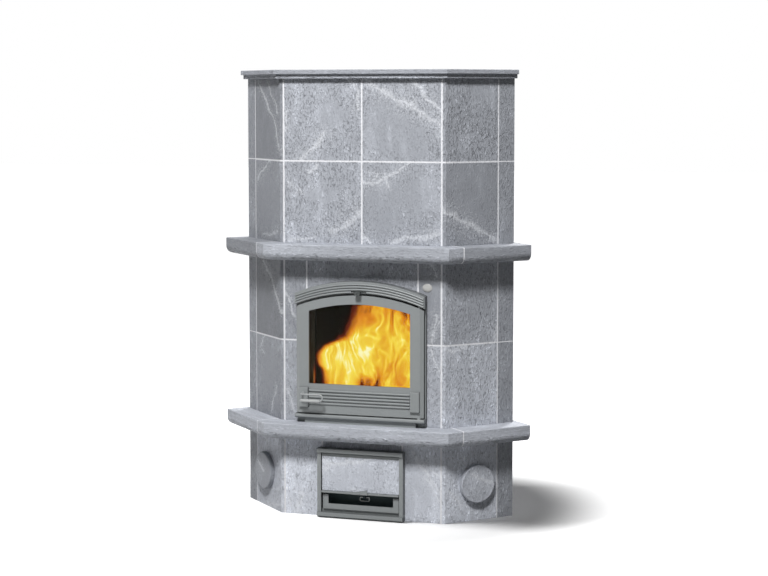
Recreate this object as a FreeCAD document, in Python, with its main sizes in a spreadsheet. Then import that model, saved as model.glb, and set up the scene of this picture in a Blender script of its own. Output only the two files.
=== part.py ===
import FreeCAD, Part
import math
import os
import types

import Sketcher

# Corner masonry heater in soapstone: stone shell, inner core, fire door, ash door and fittings.
# +Z is up and the front looks along -Y. The origin is on the floor, at the middle of the outer box.
# In the sketches Y is measured back from the plane of the front stones, so what stands proud is negative.

# Name, value in millimetres, meaning
SIZES = (
    ("front_half", 317, "half width of the straight front"),
    ("corner_run", 203.7, "how far each 45 degree face runs back, and out"),
    ("body_depth", 574, "front stones to the rear face"),
    ("rear_half", 150.4, "half width of the rear face"),
    ("shell", 66, "thickness of the outer stones"),
    ("rear_thick", 46, "thickness of the rear slabs"),
    ("joint", 3, "width of a mortar joint"),
    ("corner_return", 14, "width of a corner stone on the front"),
    ("base_height", 292, "height of the base course"),
    ("course", 300, "height of a course above the hearth"),
    ("shelf_thick", 60, "thickness of hearth and mantel"),
    ("shelf_overhang", 85, "how far the shelves stand out"),
    ("shelf_end", 22, "how far the shelves pass the back walls"),
    ("shelf_seam", 60, "shelf corner to its seam"),
    ("shelf_round", 28, "radius under the shelf edge"),
    ("shelf_ease", 4, "radius on top of the shelf edge"),
    ("crown_step", 15, "height of the crown's lower step"),
    ("crown_lip", 17, "height of the crown's upper lip"),
    ("step_overhang", 19, "how far the lower step stands out"),
    ("lip_overhang", 30, "how far the upper lip stands out"),
    ("crown_ease", 3, "radius on the crown's edges"),
    ("slip", 2, "free gap round the inner slabs"),
    # Soot doors
    ("plug_radius", 70, "radius of a soot plug's face"),
    ("plug_proud", 19, "how far a soot plug stands out"),
    ("plug_ease", 4, "radius on a soot plug's edge"),
    ("spigot_radius", 56, "radius of a soot plug's spigot"),
    ("spigot_depth", 50, "length of a soot plug's spigot"),
    ("plug_from_arris", 130, "front corner to a soot plug's centre"),
    ("plug_height", 138, "floor to a soot plug's centre"),
    ("rest_gap", 0.3, "clearance of what is pulled, slid or swung"),
    # Core
    ("firebox_margin", 117, "front corner to the firebox's side"),
    ("liner", 45, "thickness of the core stones"),
    ("core_gap", 11, "core to the inside of the back walls"),
    ("firebox_height", 553, "height of the firebox liners"),
    ("throat_half", 80, "half width of the throat"),
    ("throat_thick", 50, "thickness of the throat slabs"),
    ("turn_height", 140, "opening over the core's side walls"),
    ("ceiling_thick", 40, "thickness of the inner ceiling"),
    ("insulation", 40, "thickness of the insulation board"),
    ("grate_half", 100, "half width of the grate"),
    ("grate_front", 60, "core front to the grate"),
    ("grate_back", 24, "grate to the back liner"),
    ("grate_thick", 16, "thickness of the grate"),
    ("grate_rim", 14, "width of the grate's rim and its ledge"),
    ("grate_slot", 9, "width of a slot in the grate"),
    ("grate_fit", 2, "free gap round the grate"),
    ("flue_radius", 75, "inside radius of the flue collar"),
    ("flue_height", 150, "floor to the flue's centre"),
    ("collar_wall", 4, "wall of the flue collar"),
    ("collar_flange", 14, "width of the collar's inner flange"),
    ("collar_fit", 0.2, "flue collar to its bore"),
    # Fire door, heights above the hearth
    ("door_margin", 69, "front corner to the door frame"),
    ("arch_radius", 665, "radius of every arch of the door"),
    ("arch_top", 529, "top of the frame's arch"),
    ("header_height", 43, "height of the ribbed header"),
    ("header_proud", 36, "how far the header stands out"),
    ("header_rib", 4.1, "radius of a rib of the header"),
    ("rib_pitch", 9.4, "from rib to rib of the header"),
    ("plate_thick", 10, "thickness of the frame's plate"),
    ("frame_lip", 2.5, "width of the lip beside the leaf"),
    ("lip_depth", 4, "height of that lip"),
    ("leaf_side_gap", 1.5, "leaf to lip"),
    ("leaf_gap", 4, "leaf to sill"),
    ("head_gap", 8.2, "leaf to header, so that the arch clears as it swings"),
    ("leaf_seat", 1, "leaf to the frame's plate"),
    ("strip_inset", 35, "end of the sill to the strip under it"),
    ("strip_height", 19, "height of that strip"),
    ("strip_proud", 28, "how far that strip stands out"),
    ("sill_thick", 15, "height of the sill nosing"),
    ("sill_proud", 41, "how far the nosing stands out"),
    ("sill_round", 6, "radius of the nosing"),
    ("lintel_inset", 36, "side of the door frame to the end of the stone over it"),
    ("lintel_bottom", 454, "underside of that stone"),
    ("sleeve_gap", 3, "frame's sleeve to the stones"),
    ("sleeve_wall", 8, "wall of the sleeve"),
    ("sleeve_depth", 60, "length of the sleeve"),
    ("opening_bottom", 63, "bottom of the opening in the frame"),
    ("leaf_thick", 24, "thickness of the leaf"),
    ("leaf_face", 10, "thickness of the leaf's face"),
    ("leaf_bevel", 14, "width of the bevel on its sides"),
    ("bevel_depth", 8, "depth of that bevel"),
    ("hinge_round", 18, "radius round the hinge axis"),
    ("stile", 50, "edge of the leaf to the window"),
    ("window_bottom", 147, "bottom of the window"),
    ("window_top", 445, "top of the window's arch"),
    ("glass_lap", 10, "glass behind the window's edge"),
    ("glass_room", 8, "free room beside the glass"),
    ("glass_thick", 4, "thickness of the glass"),
    ("clip_height", 20, "height of a glass clip"),
    ("clip_thick", 2, "thickness of a glass clip"),
    ("clip_lap", 6, "clip over the glass"),
    ("clip_low", 200, "height of the lower clips"),
    ("clip_high", 350, "height of the upper clips"),
    ("rope_width", 8, "width of the door rope"),
    ("rope_depth", 5, "depth of its groove"),
    ("rope_inset", 12, "top and bottom of the leaf to the rope"),
    ("rope_side", 17.5, "sides of the leaf to the rope"),
    ("boss_half", 18, "half width of a boss"),
    ("boss_inset", 31, "edge of the leaf to the middle of a boss"),
    ("boss_bottom", 59, "bottom of the bosses"),
    ("boss_top", 134, "top of the bosses"),
    ("boss_proud", 10, "how far a boss stands out"),
    ("boss_ease", 3, "radius on a boss"),
    ("rail_rib", 4.8, "radius of a rib under the window"),
    ("rail_pitch", 11.8, "from rib to rib under the window"),
    ("rail_first", 74, "lowest of those ribs"),
    ("rail_gap", 2, "end of a rib to the boss"),
    ("pin_radius", 3.5, "radius of the door's hinge pins"),
    ("pin_length", 18, "hinge pin inside the leaf"),
    ("pin_seat", 12, "hinge pin inside the frame"),
    ("pin_collar", 7, "radius of the collar that carries the leaf"),
    ("run_fit", 0.06, "running clearance of pins and spindles"),
    # Handle and latch
    ("handle_height", 112, "spindle above the hearth"),
    ("handle_out", 75, "front stones to the handle's rods"),
    ("handle_rod", 3.2, "radius of the handle's rod"),
    ("handle_bend", 9, "radius of its first bend"),
    ("handle_drop", 23.5, "upper rod to grip"),
    ("handle_reach", 73, "spindle to the loop"),
    ("grip_radius", 6.4, "radius of the grip"),
    ("grip_past", 2, "grip past the spindle"),
    ("grip_dome", 5, "radius on the grip's free end"),
    ("spindle_radius", 4.5, "radius of the spindle"),
    ("spindle_nose", 4, "spindle in front of the boss"),
    ("latch_half", 5, "half height of the latch bar"),
    ("latch_reach", 20, "spindle to the tip of the latch"),
    ("latch_tail", 8, "latch bar behind the spindle"),
    ("latch_thick", 5, "thickness of the latch bar"),
    ("latch_back", 1.5, "free room behind the latch bar"),
    ("latch_gap", 0.4, "latch bar to the catch over it"),
    ("latch_room", 3, "free room round the latch"),
    # Air slide
    ("slot_above", 3.5, "metal under the air slide"),
    ("slide_thick", 3, "thickness of the air slide"),
    ("slide_headroom", 0.5, "free room over the air slide"),
    ("tab_half", 11, "half width of its tab"),
    ("tab_out", 60, "front stones to the end of its tab"),
    ("tab_drop", 12, "height of the tab's turned-down end"),
    ("tab_round", 6, "radius of that end's corners"),
    ("tab_hole", 2, "radius of the hole in it"),
    ("shutter_half", 40, "half width of the shutter"),
    ("slide_travel", 18, "travel of the air slide each way"),
    ("slide_wall", 6, "metal in front of the shutter"),
    # Blank oval plate
    ("plate_inset", 68, "front corner to the plate"),
    ("plate_above", 29, "end of the frame's arch to the plate's middle"),
    ("plate_half_width", 18.5, "half width of the plate"),
    ("plate_half_height", 15.5, "half height of the plate"),
    ("plate_dome", 5, "how far the plate stands out"),
    # Ash door
    ("ash_frame_half", 165, "half width of the ash frame"),
    ("ash_frame_top", 258, "top of the ash frame"),
    ("ash_proud", 28, "how far the ash frame stands out"),
    ("ash_nosing", 7, "rail and sill in front of the frame"),
    ("ash_rail", 14, "height of the top rail"),
    ("ash_sill_low", 7, "floor to the sill nosing"),
    ("ash_sill", 21, "top of the sill nosing"),
    ("ash_sill_gap", 9, "sill nosing to the drawer's opening"),
    ("ash_rebate", 10, "front stones to the rebate over the sill nosing"),
    ("ash_sleeve", 5, "wall of the ash frame's sleeve"),
    ("ash_sleeve_gap", 0.5, "that sleeve to the side stones"),
    ("ash_sleeve_rise", 6, "height of the sleeve over the opening"),
    ("ash_stile", 14.5, "width of the ash frame's sides"),
    ("flap_gap", 2, "flap to the frame's sides"),
    ("flap_clear", 1, "flap to the top rail"),
    ("flap_bottom", 94, "underside of the flap"),
    ("flap_lip", 7, "height of the flap's lower lip"),
    ("flap_lip_out", 8, "lip in front of the flap"),
    ("flap_front", 22, "front stones to the flap's face"),
    ("flap_knuckle", 7, "radius of the flap's top edge"),
    ("flap_plate", 4, "thickness of the flap's plate"),
    ("flap_stop", 9, "width of the stop behind the flap"),
    ("flap_pin", 3, "radius of the flap's pins"),
    ("flap_pin_length", 12, "flap pin inside the flap"),
    ("tab_base", 30, "half width of the thumb tab"),
    ("tab_rise", 11, "thumb tab above the lip, at its right end"),
    ("tab_plate", 4, "thickness of the thumb tab"),
    ("rivet", 4, "radius of the thumb tab's rivet"),
    ("rivet_head", 2, "height of that rivet"),
    # Ash drawer
    ("drawer_bottom", 32, "underside of the drawer"),
    ("drawer_top", 86, "top of the drawer"),
    ("drawer_gap", 4.5, "drawer's face to the frame's sides"),
    ("face_lap", 3, "drawer's face past its box"),
    ("drawer_sheet", 2.5, "wall of the drawer"),
    ("drawer_front", 18, "front stones to the drawer's face"),
    ("face_thick", 4, "thickness of the face"),
    ("face_arm", 21, "width of the face's arms"),
    ("face_sill", 19.5, "height of the face under the grip"),
    ("grip_depth", 55, "depth of the grip recess"),
    ("drawer_end_gap", 8, "drawer to the back of its chamber"),
    ("bail_wire", 2.3, "radius of the bail's wire"),
    ("bail_half", 18, "half width of the bail"),
    ("bail_drop", 14, "height of the bail"),
    ("bail_round", 4, "radius of the bail's corners"),
    ("bail_below", 15, "top of the drawer to the bail's bar"),
    ("lug_half", 6, "half width of the bail's lug"),
    ("lug_out", 5, "recess wall to the bail's bar"),
    ("lug_wall", 2.2, "metal round the bail's bar"),
)

HALF_ROOT = math.sqrt(0.5)
TAN_22 = math.tan(math.radians(22.5))
SIDES = (("left", -1), ("right", 1))
CORNER_ANGLE = 45
LEAF_RIBS = 5
HEADER_RIBS = 4
GRATE_SLOTS = 7

doc = FreeCAD.newDocument("MasonryHeater")
sheet = doc.addObject("Spreadsheet::Sheet", "Sizes")
nodes = []


class Size:
    """A size of the sheet, or what is worked out from sizes: its number and its expression."""

    def __init__(self, value, text):
        self.value = float(value)
        self.text = text

    def __add__(self, other):
        return Size(self.value + number(other), f"({self.text} + {text(other)})")

    def __sub__(self, other):
        return Size(self.value - number(other), f"({self.text} - {text(other)})")

    def __mul__(self, other):
        return Size(self.value * number(other), f"({self.text} * {text(other)})")

    def __truediv__(self, other):
        return Size(self.value / number(other), f"({self.text} / {text(other)})")

    def __rsub__(self, other):
        return Size(number(other) - self.value, f"({text(other)} - {self.text})")

    def __neg__(self):
        return Size(-self.value, f"(0 - {self.text})")

    __radd__ = __add__
    __rmul__ = __mul__


def number(size):
    return size.value if isinstance(size, Size) else float(size)


def text(size):
    return size.text if isinstance(size, Size) else repr(float(size))


def square_root(size):
    return Size(math.sqrt(size.value), f"sqrt({size.text})")


def fill_sheet():
    named = {}
    for row, (name, value, meaning) in enumerate(SIZES, start=1):
        sheet.set(f"A{row}", name)
        sheet.set(f"B{row}", str(value))
        sheet.setAlias(f"B{row}", name)
        sheet.set(f"C{row}", meaning)
        named[name] = Size(value, f"Sizes.{name}")
    doc.recompute()
    return types.SimpleNamespace(**named)


d = fill_sheet()

# Levels
hearth_z = d.base_height
middle_z = hearth_z + d.shelf_thick
second_z = middle_z + d.course + d.joint
mantel_z = second_z + d.course
upper_z = mantel_z + d.shelf_thick
fourth_z = upper_z + d.course + d.joint
crown_z = fourth_z + d.course

# Plan. Along a 45 degree face, s runs back along the face and n points out of it.
front_y = (d.shelf_overhang - d.body_depth) / 2
face_n = d.front_half * HALF_ROOT
wall_s = (d.front_half + 2 * d.corner_run) * HALF_ROOT
wall_slope = (d.front_half + d.corner_run - d.rear_half) / (d.body_depth - d.corner_run)
wall_lean = (1 - wall_slope) / (1 + wall_slope)
corner_edge = d.front_half - d.corner_return
tile_edge = corner_edge - d.joint
door_half = d.front_half - d.door_margin
lintel_half = door_half - d.lintel_inset
jamb_edge = lintel_half + d.joint
inner_rear = d.body_depth - d.rear_thick



def wall_inside(depth):
    """The end of a back wall's line, moved in along the 45 degree face by a depth."""
    return d.rear_half - depth * HALF_ROOT, d.body_depth - depth * HALF_ROOT


# Core
firebox_half = d.front_half - d.firebox_margin
core_half = firebox_half + d.liner
wall_end_x, wall_end_y = wall_inside(d.shell)
core_back = wall_end_y + (wall_end_x - core_half) / wall_slope - d.core_gap
liner_top = middle_z + d.firebox_height
throat_top = liner_top + d.throat_thick
ceiling_z = crown_z - d.insulation - d.ceiling_thick

# Fire door
leaf_half = door_half - d.frame_lip - d.leaf_side_gap
window_half = leaf_half - d.stile
boss_centre = leaf_half - d.boss_inset
strip_half = door_half - d.strip_inset
leaf_back = -d.plate_thick - d.leaf_seat
leaf_front = leaf_back - d.leaf_thick
header_low = d.arch_top - d.header_height
sill_top = d.strip_height + d.sill_thick
leaf_bottom = sill_top + d.leaf_gap
leaf_top = header_low - d.head_gap
hinge_x = leaf_half - d.hinge_round
hinge_y = leaf_back - d.hinge_round
sleeve_half = jamb_edge - d.sleeve_gap
opening_half = sleeve_half - d.sleeve_wall
opening_top = d.lintel_bottom - d.sleeve_gap - d.sleeve_wall
glass_half = window_half + d.glass_lap
glass_back = leaf_front + d.leaf_face + d.glass_thick
slot_low = header_low + d.slot_above

# Ash door
ash_inner = d.ash_frame_half - d.ash_stile
flap_half = ash_inner - d.flap_gap
drawer_face = ash_inner - d.drawer_gap
drawer_half = drawer_face - d.face_lap
ash_open_top = d.ash_frame_top - d.ash_rail
ash_half = ash_inner + d.ash_sleeve + d.ash_sleeve_gap
base_lintel_bottom = ash_open_top + d.ash_sleeve_rise
flap_axis_z = ash_open_top - d.flap_clear - d.flap_knuckle
flap_axis_y = d.flap_knuckle - d.flap_front
flap_back = flap_axis_y + d.flap_knuckle
chamber_back = core_back - d.liner
drawer_back = chamber_back - d.drawer_end_gap
recess_back = d.grip_depth - d.drawer_front
bail_y = recess_back - d.lug_out
bail_z = d.drawer_top - d.bail_below


def bind(target, path, size):
    target.setExpression(path, text(size))


def new_body(label):
    body = doc.addObject("PartDesign::Body", label)
    body.Label = label
    body.AllowCompound = True
    bind(body, "Placement.Base.y", front_y)
    return body


def keep(item):
    nodes.append(item)
    return item


def group(label, members):
    """One node of several separate solids."""
    compound = doc.addObject("Part::Compound", label)
    compound.Label = label
    compound.Links = members
    return keep(compound)


def sketch_on(body, plane, level):
    """A sketch on a plane of its body: plan at a height, front at a depth, side at a distance across."""
    roles = {"plan": "XY_Plane", "front": "XZ_Plane", "side": "YZ_Plane"}
    sketch = body.newObject("Sketcher::SketchObject", f"{body.Name}_{plane}")
    origin_plane = next(item for item in body.Origin.OriginFeatures if item.Role == roles[plane])
    sketch.AttachmentSupport = [(origin_plane, "")]
    sketch.MapMode = "FlatFace"
    bind(sketch, "AttachmentOffset.Base.z", -level if plane == "front" else level)
    return sketch


def set_size(sketch, size, *constraint):
    index = sketch.addConstraint(Sketcher.Constraint(*constraint, number(size)))
    sketch.setExpression(f"Constraints[{index}]", text(size))


def fix_point(sketch, geometry, point, corner):
    set_size(sketch, corner[0], "DistanceX", -1, 1, geometry, point)
    set_size(sketch, corner[1], "DistanceY", -1, 1, geometry, point)


def edge_between(start, end, radius):
    """A line, or an arc that turns left for a positive radius and right for a negative one."""
    if radius is None:
        return Part.LineSegment(start, end)
    reach = abs(number(radius))
    chord = end - start
    left = FreeCAD.Vector(-chord.y, chord.x, 0).normalize()
    away = math.sqrt(max(reach ** 2 - (chord.Length / 2) ** 2, 0))
    turn = math.copysign(1, number(radius))
    centre = (start + end) * 0.5 + left * away * turn
    first, last = (start, end) if turn > 0 else (end, start)
    angles = [math.atan2(point.y - centre.y, point.x - centre.x) for point in (first, last)]
    circle_line = Part.Circle(centre, FreeCAD.Vector(0, 0, 1), reach)
    return Part.ArcOfCircle(circle_line, *angles)


def draw(sketch, corners, arcs, closed):
    """Lines and arcs from corner to corner. arcs gives the radius of each edge that is an arc."""
    points = [FreeCAD.Vector(number(u), number(v), 0) for u, v in corners]
    count = len(points) if closed else len(points) - 1
    edges = []
    for index in range(count):
        radius = arcs.get(index)
        line = edge_between(points[index], points[(index + 1) % len(points)], radius)
        geometry = sketch.addGeometry(line, False)
        ends = (2, 1) if radius is not None and number(radius) < 0 else (1, 2)
        edges.append((geometry, *ends))
        fix_point(sketch, geometry, ends[0], corners[index])
        if radius is not None:
            size = radius if number(radius) > 0 else -1 * radius
            set_size(sketch, size, "Radius", geometry)
    pairs = list(zip(edges, edges[1:] + edges[:1])) if closed else list(zip(edges, edges[1:]))
    for (geometry, _, end), (following, start, _) in pairs:
        sketch.addConstraint(Sketcher.Constraint("Coincident", geometry, end, following, start))
    if not closed:
        geometry, _, end = edges[-1]
        fix_point(sketch, geometry, end, corners[-1])


def polygon(*corners, arcs=None):
    return lambda sketch: draw(sketch, corners, arcs or {}, True)


def open_path(*corners, arcs=None):
    return lambda sketch: draw(sketch, corners, arcs or {}, False)


def box(low_u, low_v, high_u, high_v):
    return polygon((low_u, low_v), (high_u, low_v), (high_u, high_v), (low_u, high_v))


def rounded_box(low_u, low_v, high_u, high_v, radius):
    return polygon(
        (low_u + radius, low_v), (high_u - radius, low_v),
        (high_u, low_v + radius), (high_u, high_v - radius),
        (high_u - radius, high_v), (low_u + radius, high_v),
        (low_u, high_v - radius), (low_u, low_v + radius),
        arcs={1: radius, 3: radius, 5: radius, 7: radius})


def circle(u, v, radius):
    def draw_circle(sketch):
        place = FreeCAD.Vector(number(u), number(v), 0)
        line = Part.Circle(place, FreeCAD.Vector(0, 0, 1), number(radius))
        geometry = sketch.addGeometry(line, False)
        fix_point(sketch, geometry, 3, (u, v))
        set_size(sketch, radius, "Radius", geometry)
    return draw_circle


def solid(body, plane, low, high, *outlines):
    """Material between two levels of a plane."""
    sketch = sketch_on(body, plane, low)
    for outline in outlines:
        outline(sketch)
    pad = body.newObject("PartDesign::Pad", f"{body.Name}_pad")
    pad.Profile = sketch
    pad.Reversed = plane == "front"
    bind(pad, "Length", high - low)
    return pad


def cut(body, plane, low, high, *outlines):
    """A hollow between two levels of a plane."""
    sketch = sketch_on(body, plane, low if plane == "front" else high)
    for outline in outlines:
        outline(sketch)
    pocket = body.newObject("PartDesign::Pocket", f"{body.Name}_pocket")
    pocket.Profile = sketch
    bind(pocket, "Length", high - low)
    return pocket


def sweep(body, path_plane, path_level, path, ring_plane, ring_level, ring):
    """A rod along a flat path."""
    spine = sketch_on(body, path_plane, path_level)
    path(spine)
    profile = sketch_on(body, ring_plane, ring_level)
    ring(profile)
    pipe = body.newObject("PartDesign::AdditivePipe", f"{body.Name}_pipe")
    pipe.Profile = profile
    pipe.Spine = spine
    return pipe


def round_edges(body, radius, middles):
    """Round the edges whose middles are nearest to the given places."""
    doc.recompute()
    base = body.Tip
    names = []
    for middle in middles:
        place = FreeCAD.Vector(*(number(size) for size in middle))
        gaps = [(edge.CenterOfMass - place).Length for edge in base.Shape.Edges]
        names.append(f"Edge{gaps.index(min(gaps)) + 1}")
    fillet = body.newObject("PartDesign::Fillet", f"{body.Name}_round")
    fillet.Base = (base, names)
    bind(fillet, "Radius", radius)
    return fillet


def prism(label, low, high, *outlines):
    body = new_body(label)
    solid(body, "plan", low, high, *outlines)
    return body


def mirrored(corners, side):
    return [(side * u, v) for u, v in corners]


def on_corner(s, n, side):
    return side * (s + n) * HALF_ROOT, (s - n) * HALF_ROOT


def corner_box(low_s, low_n, high_s, high_n, side):
    return polygon(on_corner(low_s, low_n, side), on_corner(high_s, low_n, side),
                   on_corner(high_s, high_n, side), on_corner(low_s, high_n, side))


# Plans of the stones
def corner_plan(side):
    end_s = wall_s - d.shell - d.joint
    inner_y = d.shell * 2 * HALF_ROOT - d.corner_return
    inner_s = end_s + wall_lean * d.shell
    return polygon((side * corner_edge, 0), (side * d.front_half, 0), on_corner(end_s, face_n, side),
                   on_corner(inner_s, face_n - d.shell, side), (side * corner_edge, inner_y))


def corner_joint_plan(side):
    """The upright joint between a corner stone and the back wall."""
    start = wall_s - d.shell - d.joint
    lean = wall_lean * d.shell
    return polygon(on_corner(start, face_n, side), on_corner(start + d.joint, face_n, side),
                   on_corner(start + d.joint + lean, face_n - d.shell, side),
                   on_corner(start + lean, face_n - d.shell, side))


def wall_plan(side, depth):
    """A back wall, from a depth behind the 45 degree face to the rear face."""
    start_s = wall_s + wall_lean * depth
    start_n = face_n - depth
    return polygon(on_corner(start_s - d.shell, start_n, side), on_corner(start_s, start_n, side),
                   (side * d.rear_half, d.body_depth), (side * wall_end_x, wall_end_y))


def rear_plan():
    wide = d.rear_half - d.joint / HALF_ROOT
    narrow = wide - d.rear_thick
    return polygon((-wide, d.body_depth), (-narrow, inner_rear), (narrow, inner_rear), (wide, d.body_depth))


def front_plan(low_x, high_x, side):
    return box(side * low_x, 0, side * high_x, d.shell)


def slab_plan(overhang):
    """The whole heater, with an overhang on the front and the 45 degree faces."""
    arris = d.front_half + overhang * TAN_22
    right = [(arris, -overhang), on_corner(wall_s, face_n + overhang, 1), (d.rear_half, d.body_depth)]
    return polygon(*right, *reversed(mirrored(right, -1)))


def inner_plan():
    """The inside of the shell, less a free gap."""
    edge = d.shell + d.slip
    rear = inner_rear - d.slip
    end_x, end_y = wall_inside(edge)
    face_x = d.front_half - edge / HALF_ROOT
    meet_y = (end_x + wall_slope * end_y - face_x) / (1 + wall_slope)
    right = [(d.front_half - edge * TAN_22, edge), (face_x + meet_y, meet_y),
             (end_x + wall_slope * (end_y - rear), rear)]
    return polygon(*right, *reversed(mirrored(right, -1)))


def make_soot_bore(stone, side):
    """The bore for a soot plug, square to the 45 degree face."""
    sketch = sketch_on(stone, "front", 0)
    turn = FreeCAD.Rotation(FreeCAD.Vector(0, 1, 0), side * CORNER_ANGLE)
    sketch.AttachmentOffset = FreeCAD.Placement(FreeCAD.Vector(), turn)
    across, back = on_corner(face_n + d.plug_from_arris, face_n, side)
    for axis, size in (("x", across), ("y", d.plug_height), ("z", -back)):
        bind(sketch, f"AttachmentOffset.Base.{axis}", size)
    circle(0, 0, d.spigot_radius + d.rest_gap)(sketch)
    pocket = stone.newObject("PartDesign::Pocket", f"{stone.Name}_bore")
    pocket.Profile = sketch
    bind(pocket, "Length", d.shell * 2)


def make_base():
    for name, side in SIDES:
        keep(prism(f"base_front_{name}", 0, hearth_z, front_plan(ash_half, tile_edge, side)))
        corner = keep(prism(f"base_corner_{name}", 0, hearth_z, corner_plan(side)))
        make_soot_bore(corner, side)
    strip_end = ash_half - d.joint
    keep(prism("base_lintel", base_lintel_bottom, hearth_z, front_plan(-strip_end, strip_end, 1)))


def make_shelf(name, low):
    """A shelf of three slabs, rounded under its outer edge."""
    high = low + d.shelf_thick
    out_n = face_n + d.shelf_overhang
    in_n = face_n - d.shell
    arris = (d.front_half + d.shelf_overhang * TAN_22, -d.shelf_overhang)
    seam_s = (arris[0] + arris[1]) * HALF_ROOT + d.shelf_seam
    end_s = wall_s + d.shelf_end
    inner = (d.front_half - d.shell * TAN_22, d.shell)
    right = [arris, on_corner(seam_s, out_n, 1), on_corner(seam_s, in_n, 1), inner]
    return_middle_s = seam_s - d.shelf_seam / 2
    edges = [(0, -d.shelf_overhang)] + [on_corner(return_middle_s, out_n, side) for _, side in SIDES]
    front = keep(prism(f"{name}_front", low, high, polygon(*right, *reversed(mirrored(right, -1)))))
    round_edges(front, d.shelf_round, [(*edge, low) for edge in edges])
    round_edges(front, d.shelf_ease, [(*edge, high) for edge in edges])
    seams = []
    for word, side in SIDES:
        plan = corner_box(seam_s + d.joint, in_n, end_s, out_n, side)
        slab = keep(prism(f"{name}_{word}", low, high, plan))
        middle = on_corner((seam_s + d.joint + end_s) / 2, out_n, side)
        round_edges(slab, d.shelf_round, [(*middle, low)])
        round_edges(slab, d.shelf_ease, [(*middle, high)])
        seam = prism(f"{name}_seam_{word}", low, high, corner_box(seam_s, in_n, seam_s + d.joint, out_n, side))
        seam_middle = on_corner(seam_s + d.joint / 2, out_n, side)
        round_edges(seam, d.shelf_round, [(*seam_middle, low)])
        round_edges(seam, d.shelf_ease, [(*seam_middle, high)])
        seams.append(seam)
    return seams


def make_middle():
    for word, low in (("lower", middle_z), ("upper", second_z)):
        for name, side in SIDES:
            keep(prism(f"jamb_{word}_{name}", low, low + d.course, front_plan(jamb_edge, tile_edge, side)))
            keep(prism(f"corner_{word}_{name}", low, low + d.course, corner_plan(side)))
    lintel_plan = front_plan(-lintel_half, lintel_half, 1)
    keep(prism("door_lintel", middle_z + d.lintel_bottom, mantel_z, lintel_plan))


def make_upper():
    for word, low in (("lower", upper_z), ("upper", fourth_z)):
        for name, side in SIDES:
            keep(prism(f"tile_{word}_{name}", low, low + d.course, front_plan(d.joint / 2, tile_edge, side)))
            keep(prism(f"top_corner_{word}_{name}", low, low + d.course, corner_plan(side)))


def make_crown():
    crown = keep(prism("crown_slab", crown_z, crown_z + d.crown_step, slab_plan(d.step_overhang)))
    low = crown_z + d.crown_step
    high = low + d.crown_lip
    solid(crown, "plan", low, high, slab_plan(d.lip_overhang))
    out_n = face_n + d.lip_overhang
    middle_s = (wall_s + (d.front_half + d.lip_overhang * (TAN_22 - 1)) * HALF_ROOT) / 2
    edges = [(0, -d.lip_overhang)] + [on_corner(middle_s, out_n, side) for _, side in SIDES]
    for level in (low, high):
        round_edges(crown, d.crown_ease, [(*edge, level) for edge in edges])


def make_back():
    """The slabs along the two walls and at the rear, course by course."""
    courses = [(0, hearth_z, 0), (hearth_z, middle_z, d.shell)]
    courses += [(middle_z, middle_z + d.course, 0), (second_z, mantel_z, 0)]
    courses += [(mantel_z, upper_z, d.shell)]
    courses += [(upper_z, upper_z + d.course, 0), (fourth_z, crown_z, 0)]
    walls = []
    rears = []
    for index, (low, high, depth) in enumerate(courses):
        for name, side in SIDES:
            walls.append(prism(f"wall_{name}_{index}", low, high, wall_plan(side, depth)))
        rears.append(prism(f"rear_{index}", low, high, rear_plan()))
    group("wall_slabs", walls)
    group("rear_slabs", rears[1:])
    flue_slab = keep(rears[0])
    flue_slab.Label = "flue_slab"
    bore = d.flue_radius + d.collar_wall + d.collar_fit
    cut(flue_slab, "front", inner_rear, d.body_depth, circle(0, d.flue_height, bore))


def make_flue_collar():
    collar = keep(new_body("flue_collar"))
    outer = d.flue_radius + d.collar_wall
    flange_front = inner_rear - d.collar_wall
    solid(collar, "front", flange_front, inner_rear, circle(0, d.flue_height, outer + d.collar_flange))
    solid(collar, "front", flange_front, d.body_depth, circle(0, d.flue_height, outer))
    cut(collar, "front", flange_front, d.body_depth, circle(0, d.flue_height, d.flue_radius))


def make_mortar(seams):
    members = list(seams)
    sections = (("base", 0, hearth_z), ("middle", middle_z, mantel_z), ("top", upper_z, crown_z))
    for name, low, high in sections:
        outlines = []
        for _, side in SIDES:
            outlines.append(front_plan(tile_edge, corner_edge, side))
            outlines.append(corner_joint_plan(side))
        members.append(prism(f"mortar_{name}", low, high, *outlines))
    members.append(prism("mortar_centre", upper_z, crown_z, front_plan(-d.joint / 2, d.joint / 2, 1)))
    lintel_joints = [front_plan(lintel_half, jamb_edge, side) for _, side in SIDES]
    members.append(prism("mortar_lintel", middle_z + d.lintel_bottom, mantel_z, *lintel_joints))
    base_joints = [front_plan(ash_half - d.joint, ash_half, side) for _, side in SIDES]
    members.append(prism("mortar_base_lintel", base_lintel_bottom, hearth_z, *base_joints))
    outer = d.rear_half
    inner = outer - d.joint / HALF_ROOT
    rear_joint = [(outer, d.body_depth), (inner, d.body_depth),
                  (inner - d.rear_thick, inner_rear), (outer - d.rear_thick, inner_rear)]
    rear_joints = [polygon(*mirrored(rear_joint, side)) for _, side in SIDES]
    members.append(prism("mortar_rear", 0, crown_z, *rear_joints))
    beds = (("middle", middle_z + d.course, jamb_edge), ("top", upper_z + d.course, d.joint / 2))
    for name, low, first_x in beds:
        outlines = [rear_plan()]
        for _, side in SIDES:
            outlines.append(front_plan(first_x, tile_edge, side))
            outlines.append(corner_plan(side))
            outlines.append(wall_plan(side, 0))
        members.append(prism(f"bed_{name}", low, low + d.joint, *outlines))
    group("mortar_joints", members)


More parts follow.
